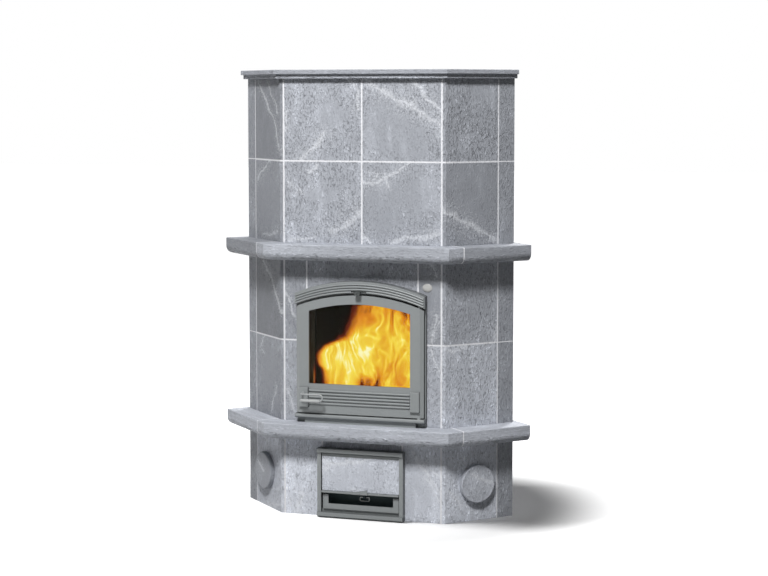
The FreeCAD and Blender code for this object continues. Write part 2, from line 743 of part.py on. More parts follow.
def make_soot_plugs():
    for name, side in SIDES:
        plug = keep(new_body(f"soot_plug_{name}"))
        across, back = on_corner(face_n + d.plug_from_arris, face_n, side)
        turn = FreeCAD.Rotation(FreeCAD.Vector(0, 0, 1), side * CORNER_ANGLE)
        plug.Placement = FreeCAD.Placement(FreeCAD.Vector(), turn)
        for axis, size in (("x", across), ("y", front_y + back), ("z", d.plug_height)):
            bind(plug, f"Placement.Base.{axis}", size)
        face = -d.plug_proud
        solid(plug, "front", face, -d.rest_gap, circle(0, 0, d.plug_radius))
        round_edges(plug, d.plug_ease, [(0, face, 0)])
        solid(plug, "front", -d.rest_gap, d.spigot_depth, circle(0, 0, d.spigot_radius))


def make_core():
    ash_outer = ash_half + d.liner
    floor_top = d.drawer_bottom - d.rest_gap
    chamber = [prism("chamber_floor", 0, floor_top, box(-ash_half, 0, ash_half, chamber_back))]
    chamber.append(prism("chamber_back", 0, hearth_z, box(-ash_half, chamber_back, ash_half, core_back)))
    liners = [prism("liner_back", middle_z, liner_top, box(-firebox_half, chamber_back, firebox_half, core_back))]
    throats = []
    walls = [prism("core_front", throat_top, ceiling_z, box(-core_half, d.shell, core_half, d.shell + d.liner))]
    walls.append(prism("core_rear", throat_top, ceiling_z, box(-core_half, chamber_back, core_half, core_back)))
    for name, side in SIDES:
        wall = box(side * ash_half, d.shell, side * ash_outer, core_back)
        chamber.append(prism(f"chamber_{name}", 0, hearth_z, wall))
        liner = box(side * firebox_half, d.shell, side * core_half, core_back)
        liners.append(prism(f"liner_{name}", middle_z, liner_top, liner))
        slab = box(side * d.throat_half, d.shell, side * core_half, core_back)
        throats.append(prism(f"throat_{name}", liner_top, throat_top, slab))
        side_wall = box(side * firebox_half, d.shell + d.liner, side * core_half, chamber_back)
        walls.append(prism(f"core_{name}", throat_top, ceiling_z - d.turn_height, side_wall))
    group("ash_chamber", chamber)
    group("firebox_liners", liners)
    group("throat_slabs", throats)
    group("core_walls", walls)
    keep(prism("core_ceiling", ceiling_z, ceiling_z + d.ceiling_thick, inner_plan()))
    keep(prism("insulation_board", ceiling_z + d.ceiling_thick, crown_z, inner_plan()))


def make_firebox_floor():
    floor = keep(prism("firebox_floor", hearth_z, middle_z, box(-core_half, d.shell, core_half, core_back)))
    start = d.shell + d.grate_front
    end = chamber_back - d.grate_back
    seat = middle_z - d.grate_thick
    fit = d.grate_fit
    cut(floor, "plan", seat, middle_z, box(-d.grate_half - fit, start - fit, d.grate_half + fit, end + fit))
    hole = d.grate_half - d.grate_rim
    cut(floor, "plan", hearth_z, seat, box(-hole, start + d.grate_rim, hole, end - d.grate_rim))
    grate = keep(prism("grate", seat, middle_z, box(-d.grate_half, start, d.grate_half, end)))
    pitch = (2 * hole - d.grate_slot) / (GRATE_SLOTS - 1)
    slots = []
    for index in range(GRATE_SLOTS):
        left = pitch * index - hole
        slots.append(box(left, start + d.grate_rim, left + d.grate_slot, end - d.grate_rim))
    cut(grate, "plan", seat, middle_z, *slots)


def arch_drop(half):
    """How far an arch falls from its top to a distance from the middle."""
    return d.arch_radius - square_root(d.arch_radius * d.arch_radius - half * half)


def arch(half, bottom, top):
    """An upright outline with an arched top, in heights above the hearth."""
    shoulder = middle_z + top - arch_drop(half)
    low = middle_z + bottom
    corners = ((-half, low), (half, low), (half, shoulder), (-half, shoulder))
    return polygon(*corners, arcs={2: d.arch_radius})


def arch_band(half, low_top, high_top):
    low = middle_z + low_top - arch_drop(half)
    high = middle_z + high_top - arch_drop(half)
    corners = ((-half, low), (half, low), (half, high), (-half, high))
    return polygon(*corners, arcs={0: -1 * d.arch_radius, 2: d.arch_radius})


def add_header_rib(frame, top):
    """A half round rib that follows the arch."""
    sketch = sketch_on(frame, "side", 0)
    circle(-d.header_proud, middle_z + top, d.header_rib)(sketch)
    axis_z = middle_z + top - d.arch_radius
    ends = ((-d.header_proud, axis_z), (0, axis_z))
    line = Part.LineSegment(*(FreeCAD.Vector(number(u), number(v), 0) for u, v in ends))
    axis = sketch.addGeometry(line, True)
    fix_point(sketch, axis, 1, ends[0])
    fix_point(sketch, axis, 2, ends[1])
    rib = frame.newObject("PartDesign::Revolution", f"{frame.Name}_rib")
    rib.Profile = sketch
    rib.ReferenceAxis = (sketch, ["Axis0"])
    rib.Midplane = True
    reach = door_half - d.header_rib
    rib.setExpression("Angle", f"2 * asin({text(reach)} / {d.arch_radius.text})")


def cut_latch_notch(frame):
    """The notch behind the latch. Its low left roof is the catch."""
    spindle_z = middle_z + d.handle_height
    tip = boss_centre + d.latch_reach + d.latch_room
    floor = spindle_z - d.latch_reach - d.latch_half - d.latch_room
    swing = d.latch_tail + d.latch_half + d.latch_room
    roof = spindle_z + d.latch_half + d.latch_gap
    step = boss_centre + d.latch_tail + d.latch_half
    corners = ((-tip, floor), (swing - boss_centre, floor), (swing - boss_centre, spindle_z + swing),
               (-step, spindle_z + swing), (-step, roof), (-tip, roof))
    cut(frame, "front", -d.plate_thick, 0, polygon(*corners))


def cut_air_slot(frame):
    low = middle_z + slot_low
    high = low + d.rest_gap + d.slide_thick + d.slide_headroom
    shutter_front = d.slide_wall - d.header_proud
    inner = d.shutter_half + d.slide_travel + d.slide_headroom
    mouth = d.tab_half + d.slide_travel + d.slide_headroom
    cut(frame, "plan", low, high, box(-inner, shutter_front, inner, -d.plate_thick))
    rib_front = -d.header_proud - d.header_rib
    cut(frame, "plan", low, high, box(-mouth, rib_front, mouth, shutter_front))


def cut_pin_holes(body, top_low, top_high, bottom_low, bottom_high):
    hole = circle(hinge_x, hinge_y, d.pin_radius + d.run_fit)
    cut(body, "plan", top_low, top_high, hole)
    cut(body, "plan", bottom_low, bottom_high, hole)


def make_door_frame():
    frame = keep(new_body("door_frame"))
    plate = -d.plate_thick
    solid(frame, "front", plate, 0, arch(door_half, 0, d.arch_top))
    sleeve_bottom = d.opening_bottom - d.sleeve_wall
    sleeve_top = opening_top + d.sleeve_wall
    solid(frame, "front", 0, d.sleeve_depth, arch(sleeve_half, sleeve_bottom, sleeve_top))
    cut(frame, "front", plate, d.sleeve_depth, arch(opening_half, d.opening_bottom, opening_top))
    solid(frame, "front", -d.header_proud, plate, arch_band(door_half, header_low, d.arch_top))
    for index in range(HEADER_RIBS):
        add_header_rib(frame, header_low + d.header_rib + d.rib_pitch * index)
    low = middle_z + d.strip_height
    high = middle_z + sill_top
    solid(frame, "front", -d.strip_proud, plate, box(-strip_half, middle_z, strip_half, low))
    solid(frame, "front", -d.sill_proud, plate, box(-door_half, low, door_half, high))
    round_edges(frame, d.sill_round, [(0, -d.sill_proud, low), (0, -d.sill_proud, high)])
    lip_top = middle_z + header_low - arch_drop(door_half)
    lips = [box(side * (door_half - d.frame_lip), high, side * door_half, lip_top) for _, side in SIDES]
    solid(frame, "front", plate - d.lip_depth, plate, *lips)
    cut_latch_notch(frame)
    cut_air_slot(frame)
    header_at_pin = middle_z + header_low - arch_drop(hinge_x)
    overrun = d.pin_radius
    cut_pin_holes(frame, header_at_pin - overrun, header_at_pin + d.pin_seat, high - d.pin_seat, high)


def rope_outlines():
    """The outside and the inside of the rope's ring."""
    outside = arch(leaf_half - d.rope_side, leaf_bottom + d.rope_inset, leaf_top - d.rope_inset)
    inner = d.rope_inset + d.rope_width
    inside = arch(leaf_half - d.rope_side - d.rope_width, leaf_bottom + inner, leaf_top - inner)
    return outside, inside


def make_door_leaf():
    leaf = keep(new_body("door_leaf"))
    solid(leaf, "front", leaf_front, leaf_back, arch(leaf_half, leaf_bottom, leaf_top))
    window = arch(window_half, d.window_bottom, d.window_top)
    cut(leaf, "front", leaf_front, leaf_back, window)
    room = glass_half + d.glass_room
    low = d.window_bottom - d.glass_lap
    high = d.window_top + d.glass_lap
    behind = leaf_front + d.leaf_face
    cut(leaf, "front", behind, leaf_back, arch(room, low, high))
    cut(leaf, "front", leaf_back - d.rope_depth, leaf_back, *rope_outlines())
    bottom = middle_z + leaf_bottom
    top = middle_z + leaf_top
    for _, side in SIDES:
        bevel = ((leaf_half - d.leaf_bevel, leaf_front), (leaf_half, leaf_front),
                 (leaf_half, leaf_front + d.bevel_depth))
        cut(leaf, "plan", bottom, top, polygon(*mirrored(bevel, side)))
    hinge_back = ((leaf_half, hinge_y), (leaf_half, leaf_back), (hinge_x, leaf_back))
    cut(leaf, "plan", bottom, top, polygon(*hinge_back, arcs={2: -1 * d.hinge_round}))
    boss_front = leaf_front - d.boss_proud
    boss_low = middle_z + d.boss_bottom
    boss_high = middle_z + d.boss_top
    for _, side in SIDES:
        centre = side * boss_centre
        boss = box(centre - d.boss_half, boss_low, centre + d.boss_half, boss_high)
        solid(leaf, "front", boss_front, leaf_front, boss)
        round_edges(leaf, d.boss_ease, [(centre, boss_front, boss_low), (centre, boss_front, boss_high),
                                        (centre - d.boss_half, boss_front, (boss_low + boss_high) / 2),
                                        (centre + d.boss_half, boss_front, (boss_low + boss_high) / 2)])
    rib_half = boss_centre - d.boss_half - d.rail_gap
    for index in range(LEAF_RIBS):
        height = middle_z + d.rail_first + d.rail_pitch * index
        solid(leaf, "side", -rib_half, rib_half, circle(leaf_front, height, d.rail_rib))
    bore = circle(-boss_centre, middle_z + d.handle_height, d.spindle_radius + d.run_fit)
    cut(leaf, "front", boss_front, leaf_back, bore)
    leaf_at_pin = top - arch_drop(hinge_x)
    deep = d.pin_length + d.rest_gap
    overrun = d.pin_radius
    cut_pin_holes(leaf, leaf_at_pin - deep, leaf_at_pin + overrun, bottom, bottom + deep)


def make_glass():
    glass = keep(new_body("door_glass"))
    low = d.window_bottom - d.glass_lap + d.clip_thick
    high = d.window_top + d.glass_lap - d.clip_thick
    solid(glass, "front", leaf_front + d.leaf_face, glass_back, arch(glass_half, low, high))
    clips = keep(new_body("glass_clips"))
    outer = glass_half + d.glass_room
    foot = glass_half + d.clip_thick
    plates = []
    feet = []
    for height in (middle_z + d.clip_low, middle_z + d.clip_high):
        for _, side in SIDES:
            plates.append(box(side * (glass_half - d.clip_lap), height, side * outer, height + d.clip_height))
            feet.append(box(side * foot, height, side * outer, height + d.clip_height))
    solid(clips, "front", glass_back, glass_back + d.clip_thick, *plates)
    solid(clips, "front", leaf_front + d.leaf_face, glass_back, *feet)


def make_rope():
    rope = keep(new_body("door_rope"))
    solid(rope, "front", leaf_back - d.rope_depth, -d.plate_thick - d.rest_gap, *rope_outlines())


def make_hinge_pins():
    """The fire door's pins, the lower one with a collar, and the flap's pins."""
    header_at_pin = middle_z + header_low - arch_drop(hinge_x)
    leaf_at_pin = middle_z + leaf_top - arch_drop(hinge_x)
    sill = middle_z + sill_top
    bottom = middle_z + leaf_bottom
    shank = circle(hinge_x, hinge_y, d.pin_radius)
    upper = prism("door_pin_upper", leaf_at_pin - d.pin_length, header_at_pin + d.pin_seat, shank)
    lower = prism("door_pin_lower", sill - d.pin_seat, bottom + d.pin_length, shank)
    solid(lower, "plan", sill, bottom - d.rest_gap, circle(hinge_x, hinge_y, d.pin_collar))
    members = [upper, lower]
    for name, side in SIDES:
        pin = new_body(f"flap_pin_{name}")
        inside = flap_half - d.flap_pin_length
        outside = d.ash_frame_half - d.ash_sleeve
        ends = (inside, outside) if side > 0 else (-outside, -inside)
        solid(pin, "side", *ends, circle(flap_axis_y, flap_axis_z, d.flap_pin))
        members.append(pin)
    group("hinge_pins", members)


def make_handle():
    """The bent rod with its spindle, the grip on its lower leg and the latch bar inside the door."""
    spindle_x = -boss_centre
    spindle_z = middle_z + d.handle_height
    rods_y = -d.handle_out
    boss_front = leaf_front - d.boss_proud
    loop_x = spindle_x + d.handle_reach
    grip_z = spindle_z - d.handle_drop
    free_x = spindle_x - d.grip_past
    handle = keep(new_body("door_handle"))
    nose = boss_front - d.spindle_nose
    solid(handle, "front", nose, -d.latch_back, circle(spindle_x, spindle_z, d.spindle_radius))
    out = open_path((spindle_x, nose), (spindle_x, rods_y + d.handle_bend),
                    (spindle_x + d.handle_bend, rods_y), (loop_x, rods_y), arcs={1: d.handle_bend})
    sweep(handle, "plan", spindle_z, out, "front", nose, circle(spindle_x, spindle_z, d.handle_rod))
    turn = d.handle_drop / 2
    back = open_path((loop_x, spindle_z), (loop_x + turn, spindle_z - turn), (loop_x, grip_z),
                     (free_x + d.grip_radius, grip_z), arcs={0: -1 * turn, 1: -1 * turn})
    sweep(handle, "front", rods_y, back, "side", loop_x, circle(rods_y, spindle_z, d.handle_rod))
    grip = keep(new_body("handle_grip"))
    solid(grip, "side", free_x, loop_x, circle(rods_y, grip_z, d.grip_radius))
    round_edges(grip, d.grip_dome, [(free_x, rods_y, grip_z)])
    bore = circle(rods_y, grip_z, d.handle_rod + d.run_fit)
    cut(grip, "side", free_x + d.grip_radius, loop_x, bore)
    latch = keep(new_body("latch_bar"))
    bar = box(spindle_x - d.latch_reach, spindle_z - d.latch_half,
              spindle_x + d.latch_tail, spindle_z + d.latch_half)
    back_y = -d.latch_back
    solid(latch, "front", back_y - d.latch_thick, back_y, bar)
    hub = circle(spindle_x, spindle_z, d.latch_tail)
    solid(latch, "front", back_y - d.latch_thick, back_y, hub)
    cut(latch, "front", back_y - d.latch_thick, back_y,
        circle(spindle_x, spindle_z, d.spindle_radius + d.run_fit))


def make_air_slide():
    slide = keep(new_body("air_slide"))
    low = middle_z + slot_low + d.rest_gap
    high = low + d.slide_thick
    shutter_front = d.slide_wall + d.rest_gap - d.header_proud
    shutter_back = -d.plate_thick - d.rest_gap
    solid(slide, "plan", low, high, box(-d.shutter_half, shutter_front, d.shutter_half, shutter_back))
    end = -d.tab_out
    solid(slide, "plan", low, high, box(-d.tab_half, end, d.tab_half, shutter_front))
    corner = d.tab_round
    end_low = high - d.tab_drop
    turned = polygon((corner - d.tab_half, end_low), (d.tab_half - corner, end_low), (d.tab_half, end_low + corner),
                     (d.tab_half, high), (-d.tab_half, high), (-d.tab_half, end_low + corner),
                     arcs={1: corner, 5: corner})
    solid(slide, "front", end, end + d.slide_thick, turned)
    cut(slide, "front", end, end + d.slide_thick, circle(0, end_low + corner, d.tab_hole))


def make_blank_plate():
    """A plain oval plate, the front half of an ellipsoid."""
    height = middle_z + d.arch_top - arch_drop(door_half) + d.plate_above
    oval = doc.addObject("Part::Ellipsoid", "plate_oval")
    bind(oval, "Radius1", d.plate_half_height)
    bind(oval, "Radius2", d.plate_half_width)
    bind(oval, "Radius3", d.plate_dome)
    front = doc.addObject("Part::Box", "plate_front")
    bind(front, "Length", 2 * d.plate_half_width)
    bind(front, "Width", d.plate_dome)
    bind(front, "Height", 2 * d.plate_half_height)
    for item, shift in ((oval, (0, 0, 0)), (front, (d.plate_half_width, d.plate_dome, d.plate_half_height))):
        bind(item, "Placement.Base.x", d.front_half - d.plate_inset - shift[0])
        bind(item, "Placement.Base.y", front_y - shift[1])
        bind(item, "Placement.Base.z", height - shift[2])
    plate = doc.addObject("Part::Common", "blank_plate")
    plate.Label = "blank_plate"
    plate.Base = oval
    plate.Tool = front
    keep(plate)


def make_ash_frame():
    frame = keep(new_body("ash_frame"))
    proud = -d.ash_proud
    nosing = proud - d.ash_nosing
    opening_low = d.ash_sill + d.ash_sill_gap
    solid(frame, "front", proud, 0, box(-d.ash_frame_half, 0, d.ash_frame_half, d.ash_frame_top))
    solid(frame, "front", nosing, proud, box(-d.ash_frame_half, ash_open_top, d.ash_frame_half, d.ash_frame_top))
    sill = box(-d.ash_frame_half, d.ash_sill_low, d.ash_frame_half, d.ash_sill)
    solid(frame, "front", nosing, proud, sill)
    cut(frame, "front", proud, -d.ash_rebate, box(-ash_inner, d.ash_sill, ash_inner, opening_low))
    cut(frame, "front", proud, 0, box(-ash_inner, opening_low, ash_inner, ash_open_top))
    outer = ash_inner + d.ash_sleeve
    top = base_lintel_bottom
    low = d.drawer_bottom
    sleeve = polygon((-outer, low), (-ash_inner, low), (-ash_inner, ash_open_top), (ash_inner, ash_open_top),
                     (ash_inner, low), (outer, low), (outer, top), (-outer, top))
    solid(frame, "front", 0, d.sleeve_depth, sleeve)
    stop_front = flap_back + d.rest_gap
    stops = [box(side * (ash_inner - d.flap_stop), d.flap_bottom, side * ash_inner, flap_axis_z)
             for _, side in SIDES]
    solid(frame, "front", stop_front, stop_front + d.flap_plate, *stops)
    hole = circle(flap_axis_y, flap_axis_z, d.flap_pin + d.run_fit)
    seat = d.ash_frame_half - d.ash_sleeve
    cut(frame, "side", -seat, -ash_inner, hole)
    cut(frame, "side", ash_inner, seat, hole)


def make_flap():
    flap = keep(new_body("ash_flap"))
    lip_top = d.flap_bottom + d.flap_lip
    lip_front = -d.flap_front - d.flap_lip_out
    stone_top = flap_axis_z - d.flap_knuckle
    plate_front = flap_back - d.flap_plate
    half = flap_half
    solid(flap, "front", plate_front, flap_back, box(-half, d.flap_bottom, half, flap_axis_z))
    bar = polygon((-d.flap_front, stone_top), (flap_back, stone_top), (flap_back, flap_axis_z),
                  (flap_axis_y, flap_axis_z + d.flap_knuckle), (-d.flap_front, flap_axis_z),
                  arcs={2: d.flap_knuckle, 3: d.flap_knuckle})
    solid(flap, "side", -half, half, bar)
    solid(flap, "front", lip_front, flap_back, box(-half, d.flap_bottom, half, lip_top))
    tab_top = lip_top + d.tab_rise
    tab = polygon((-d.tab_base, d.flap_bottom), (d.tab_base, d.flap_bottom),
                  (d.tab_base, tab_top), (-d.tab_base, lip_top))
    solid(flap, "front", lip_front - d.tab_plate, lip_front, tab)
    head = lip_front - d.tab_plate
    rivet_z = d.flap_bottom + d.flap_lip / 2 + d.rivet
    solid(flap, "front", head - d.rivet_head, head, circle(0, rivet_z, d.rivet))
    hole = circle(flap_axis_y, flap_axis_z, d.flap_pin + d.run_fit)
    deep = half - d.flap_pin_length - d.rest_gap
    cut(flap, "side", -half, -deep, hole)
    cut(flap, "side", deep, half, hole)
    stone = keep(new_body("flap_stone"))
    solid(stone, "front", -d.flap_front, plate_front, box(-half, lip_top, half, stone_top))


def make_drawer():
    drawer = keep(new_body("ash_drawer"))
    face = -d.drawer_front
    behind = face + d.face_thick
    low = d.drawer_bottom
    high = d.drawer_top
    sheet_wall = d.drawer_sheet
    inner = drawer_half - sheet_wall
    floor = low + sheet_wall
    solid(drawer, "plan", low, high, box(-drawer_half, behind, drawer_half, drawer_back))
    cut(drawer, "plan", floor, high, box(-inner, behind, inner, recess_back),
        box(-inner, recess_back + sheet_wall, inner, drawer_back - sheet_wall))
    arm = drawer_face - d.face_arm
    grip_low = low + d.face_sill
    solid(drawer, "front", face, behind, polygon(
        (-drawer_face, low), (drawer_face, low), (drawer_face, high), (arm, high),
        (arm, grip_low), (-arm, grip_low), (-arm, high), (-drawer_face, high)))
    lug = d.bail_wire + d.lug_wall
    solid(drawer, "plan", bail_z - lug, bail_z + lug, box(-d.lug_half, bail_y - lug, d.lug_half, recess_back))
    cut(drawer, "side", -d.lug_half, d.lug_half, circle(bail_y, bail_z, d.bail_wire + d.run_fit))
    bail = keep(new_body("drawer_bail"))
    loop = rounded_box(-d.bail_half, bail_z - d.bail_drop, d.bail_half, bail_z, d.bail_round)
    sweep(bail, "front", bail_y, loop, "side", 0, circle(bail_y, bail_z, d.bail_wire))


def check_and_write():
    doc.recompute()
    failed = [item.Label for item in doc.Objects if {"Invalid", "Error"} & set(item.State)]
    bad = [item.Label for item in nodes if item.Shape.isNull() or not item.Shape.isValid()]
    if failed or bad:
        raise RuntimeError(f"failed {failed}, bad shapes {bad}")
    os.makedirs("parts", exist_ok=True)
    for item in nodes:
        item.Shape.exportStep(f"parts/{item.Label}.step")
    print(f"{len(nodes)} nodes, {sum(len(item.Shape.Solids) for item in nodes)} solids")


make_base()
hearth_seams = make_shelf("hearth", hearth_z)
make_middle()
mantel_seams = make_shelf("mantel", mantel_z)
make_upper()
make_crown()
make_back()
make_flue_collar()
make_mortar(hearth_seams + mantel_seams)
make_soot_plugs()
make_core()
make_firebox_floor()
make_door_frame()
make_door_leaf()
make_glass()
make_rope()
make_hinge_pins()
make_handle()
make_air_slide()
make_blank_plate()
make_ash_frame()
make_flap()
make_drawer()
check_and_write()
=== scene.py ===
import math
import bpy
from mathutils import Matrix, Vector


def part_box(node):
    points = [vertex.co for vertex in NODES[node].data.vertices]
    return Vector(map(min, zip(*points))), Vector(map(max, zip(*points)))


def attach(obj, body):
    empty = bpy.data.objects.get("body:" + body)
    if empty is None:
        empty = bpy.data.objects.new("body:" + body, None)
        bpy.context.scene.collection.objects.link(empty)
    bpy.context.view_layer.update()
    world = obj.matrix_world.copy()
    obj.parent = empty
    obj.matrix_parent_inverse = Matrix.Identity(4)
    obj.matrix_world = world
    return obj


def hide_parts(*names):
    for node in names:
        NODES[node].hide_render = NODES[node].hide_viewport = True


bl_info = {
    "name": "Corner masonry heater",
    "version": (1, 0, 0),
    "blender": (4, 5, 0),
    "location": "3D View > Sidebar > Heater",
    "description": "Dresses a soapstone corner heater with its stones, castings, door rope and fire",
    "category": "Object",
}

import bmesh
import bpy
from bpy.props import FloatProperty, FloatVectorProperty, IntProperty, PointerProperty
from mathutils import Matrix, Vector, noise

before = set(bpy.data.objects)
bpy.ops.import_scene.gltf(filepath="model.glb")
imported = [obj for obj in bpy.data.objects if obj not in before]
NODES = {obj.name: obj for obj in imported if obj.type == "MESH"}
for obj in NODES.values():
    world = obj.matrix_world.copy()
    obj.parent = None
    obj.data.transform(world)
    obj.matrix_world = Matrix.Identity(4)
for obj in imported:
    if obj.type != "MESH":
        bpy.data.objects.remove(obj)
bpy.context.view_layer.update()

HALF_ROOT = math.sqrt(0.5)

# Along the front, and along the 45 degree faces from left to right as seen from the front
ALONG = {
    "front": Vector((1, 0, 0)),
    "left": Vector((HALF_ROOT, -HALF_ROOT, 0)),
    "right": Vector((HALF_ROOT, HALF_ROOT, 0)),
}

# Stones: face, tone, amount of flecks, amount of clouds, veins, calm patches.
# A vein is its width in millimetres and points across and up its stone, from 0 to 1.
# A calm patch has a middle and a radius, in the same shares.
# The tone is partly the stone's own colour and partly painted light and shade: lower on the left faces as
# painted shade, higher on the base course as painted light.
STONES = {
    "tile_upper_left": ("front", 0.98, 1.1, 1.0, (
        (7, (0.83, 0.99), (0.95, 0.84), (0.96, 0.62)),
        (9, (0.18, 0.0), (0.36, 0.12), (0.52, 0.32)),
        (4, (0.02, 0.62), (0.03, 0.35)),
    ), ((0.62, 0.55, 0.22),)),
    "tile_upper_right": ("front", 0.88, 0.95, 0.8, (
        (12, (0.05, 0.97), (0.36, 0.77), (0.62, 0.66), (0.86, 0.51), (1.0, 0.42)),
        (8, (0.56, 1.0), (0.74, 0.86), (0.99, 0.6)),
        (5, (0.96, 0.45), (1.0, 0.28)),
    ), ((0.3, 0.38, 0.42), (0.62, 0.2, 0.3))),
    "tile_lower_left": ("front", 0.97, 1.1, 0.9, (
        (12, (1.0, 0.41), (0.84, 0.28), (0.64, 0.13)),
        (4, (0.02, 0.76), (0.22, 0.6)),
        (5, (0.3, 0.86), (0.42, 0.92)),
        (8, (0.1, 0.03), (0.4, 0.08)),
    ), ((0.5, 0.6, 0.2),)),
    "tile_lower_right": ("front", 0.9, 0.9, 0.8, (
        (7, (0.6, 0.99), (0.33, 0.81), (0.16, 0.75), (0.0, 0.74)),
        (4, (0.28, 0.84), (0.32, 0.7)),
        (4, (0.05, 0.88), (0.2, 0.86), (0.1, 0.76)),
        (10, (0.38, 0.02), (0.66, 0.07), (0.97, 0.16)),
        (12, (0.0, 0.08), (0.08, 0.01)),
    ), ((0.3, 0.5, 0.36), (0.75, 0.62, 0.3))),
    "top_corner_upper_left": ("left", 0.57, 0.6, 0.5, (
        (6, (0.12, 0.95), (0.45, 0.72), (0.8, 0.42), (0.95, 0.12)),
        (4, (0.5, 0.98), (0.9, 0.6)),
    ), ((0.3, 0.35, 0.5),)),
    "top_corner_lower_left": ("left", 0.68, 0.7, 0.6, (
        (5, (0.55, 1.0), (0.25, 0.86), (0.05, 0.76)),
        (5, (0.25, 0.03), (0.9, 0.14)),
    ), ((0.5, 0.5, 0.4),)),
    "top_corner_upper_right": ("right", 0.84, 1.15, 1.1, (), ((0.8, 0.85, 0.3),)),
    "top_corner_lower_right": ("right", 0.69, 0.75, 0.6, (
        (11, (0.03, 0.44), (0.3, 0.32), (0.58, 0.21), (0.95, 0.04)),
    ), ((0.55, 0.7, 0.5),)),
    "door_lintel": ("front", 0.88, 0.9, 0.6, ((5, (0.93, 0.22), (0.99, 0.1)),), ((0.4, 0.6, 0.3),)),
    "jamb_upper_left": ("front", 0.76, 0.7, 0.6, (
        (5, (0.0, 0.62), (0.3, 0.48), (0.45, 0.3)),
    ), ()),
    "jamb_upper_right": ("front", 0.72, 0.7, 0.7, (
        (6, (0.55, 0.98), (0.8, 0.84)),
        (5, (1.0, 0.3), (0.75, 0.2), (0.55, 0.06)),
        (4, (0.8, 0.36), (0.66, 0.1)),
    ), ((0.6, 0.6, 0.4),)),
    "jamb_lower_left": ("front", 0.93, 0.8, 0.6, ((5, (0.1, 0.4), (0.5, 0.1)),), ()),
    "jamb_lower_right": ("front", 1.05, 0.8, 0.7, ((5, (0.6, 0.96), (0.95, 0.7)),), ()),
    "corner_upper_left": ("left", 0.48, 0.6, 0.5, (
        (6, (0.28, 0.93), (0.62, 0.72), (0.85, 0.5), (0.97, 0.3)),
    ), ((0.25, 0.4, 0.4),)),
    "corner_upper_right": ("right", 0.89, 1.1, 0.9, ((5, (0.96, 0.04), (0.99, 0.2)),), ()),
    "corner_lower_left": ("left", 0.74, 0.65, 0.6, (
        (5, (0.3, 0.98), (0.16, 0.86), (0.3, 0.78)),
        (4, (0.75, 0.4), (0.55, 0.05)),
    ), ((0.5, 0.6, 0.3),)),
    "corner_lower_right": ("right", 1.3, 1.1, 1.0, (
        (9, (0.02, 0.98), (0.2, 0.93), (0.42, 0.97)),
    ), ()),
    "base_front_left": ("front", 1.63, 0.8, 0.9, (
        (12, (0.35, 0.02), (0.42, 0.25)),
        (4, (0.05, 0.3), (0.2, 0.1)),
    ), ()),
    "base_front_right": ("front", 1.46, 0.75, 0.9, (
        (7, (0.25, 0.86), (0.55, 0.66), (0.98, 0.4)),
        (4, (0.5, 0.75), (0.9, 0.62)),
        (4, (0.6, 0.6), (0.95, 0.3)),
    ), ((0.3, 0.4, 0.4),)),
    "base_lintel": ("front", 0.98, 0.9, 0.6, (), ()),
    "base_corner_left": ("left", 1.4, 0.8, 0.8, (
        (5, (0.2, 0.97), (0.4, 0.86)),
        (8, (0.4, 0.02), (0.95, 0.1)),
    ), ()),
    "base_corner_right": ("right", 1.5, 0.9, 0.8, ((4, (0.1, 0.4), (0.3, 0.2)),), ()),
    "soot_plug_left": ("left", 0.82, 0.5, 0.5, ((5, (0.2, 0.75), (0.6, 0.5)),), ()),
    "soot_plug_right": ("right", 1.15, 0.7, 0.6, (
        (5, (0.36, 0.76), (0.66, 0.62), (0.95, 0.5)),
    ), ()),
    "flap_stone": ("front", 1.44, 0.7, 0.4, (
        (8, (0.0, 0.8), (0.12, 0.77), (0.26, 0.8), (0.34, 0.9), (0.6, 0.97)),
        (6, (0.02, 0.92), (0.1, 0.78), (0.05, 0.64)),
        (4, (0.36, 0.02), (0.5, 0.05)),
    ), ((0.25, 0.4, 0.5), (0.5, 0.5, 0.45))),
}

# Shelves lie flat, so their grain runs level along each slab
# Their tones too are partly the slabs' own colour and partly painted light and shade, as for the stones.
SHELVES = {
    "hearth_front": ("front", 1.19),
    "hearth_left": ("left", 1.2),
    "hearth_right": ("right", 1.17),
    "mantel_front": ("front", 1.03),
    "mantel_left": ("left", 0.64),
    "mantel_right": ("right", 0.8),
    "crown_slab": ("front", 0.86),
}

# Ends of the shelf slabs that are jointed: the direction, and 0 for its start or 1 for its end
SHELF_JOINTS = {
    "hearth_front": (("left", 0), ("right", 1)),
    "hearth_left": (("left", 1),),
    "hearth_right": (("right", 0),),
    "mantel_front": (("left", 0), ("right", 1)),
    "mantel_left": (("left", 1),),
    "mantel_right": (("right", 0),),
}

# Ends and thickness of the split logs
LOGS = (
    ((-0.165, -0.115, 0.405), (0.15, -0.1, 0.4), 0.048),
    ((-0.15, 0.03, 0.405), (0.165, 0.02, 0.402), 0.05),
    ((-0.14, -0.06, 0.475), (0.17, -0.035, 0.468), 0.042),
    ((-0.02, -0.13, 0.462), (0.12, -0.125, 0.47), 0.03),
)

# Flame sheets: depth, seed, and points of the flames' left edge as shares up and across the window
SHEETS = (
    ("flames_front", -0.2165, 3.1, (
        (0.0, 0.13), (0.15, 0.1), (0.3, 0.07), (0.42, 0.09), (0.5, 0.15),
        (0.57, 0.27), (0.77, 0.33), (1.0, 0.36))),
    ("flames_back", -0.05, 8.4, (
        (0.0, 0.25), (0.3, 0.3), (0.5, 0.4), (0.6, 0.5), (0.7, 0.6), (0.8, 0.68), (0.9, 0.75), (1.0, 0.8))),
)

# Corners of the window that the flames are fitted to, and the place of the camera
WINDOW = (Vector((-0.194, -0.2695, 0.499)), Vector((0.194, -0.2695, 0.797)))
SIGHT = Vector((2.0098, -6.509, 1.5572))

# Flame colours and the heat at which each is reached
HEATS = (("ember", 0.02), ("ember", 0.18), ("flame", 0.4), ("glow", 0.62), ("bright", 0.85), ("heart", 1.0))

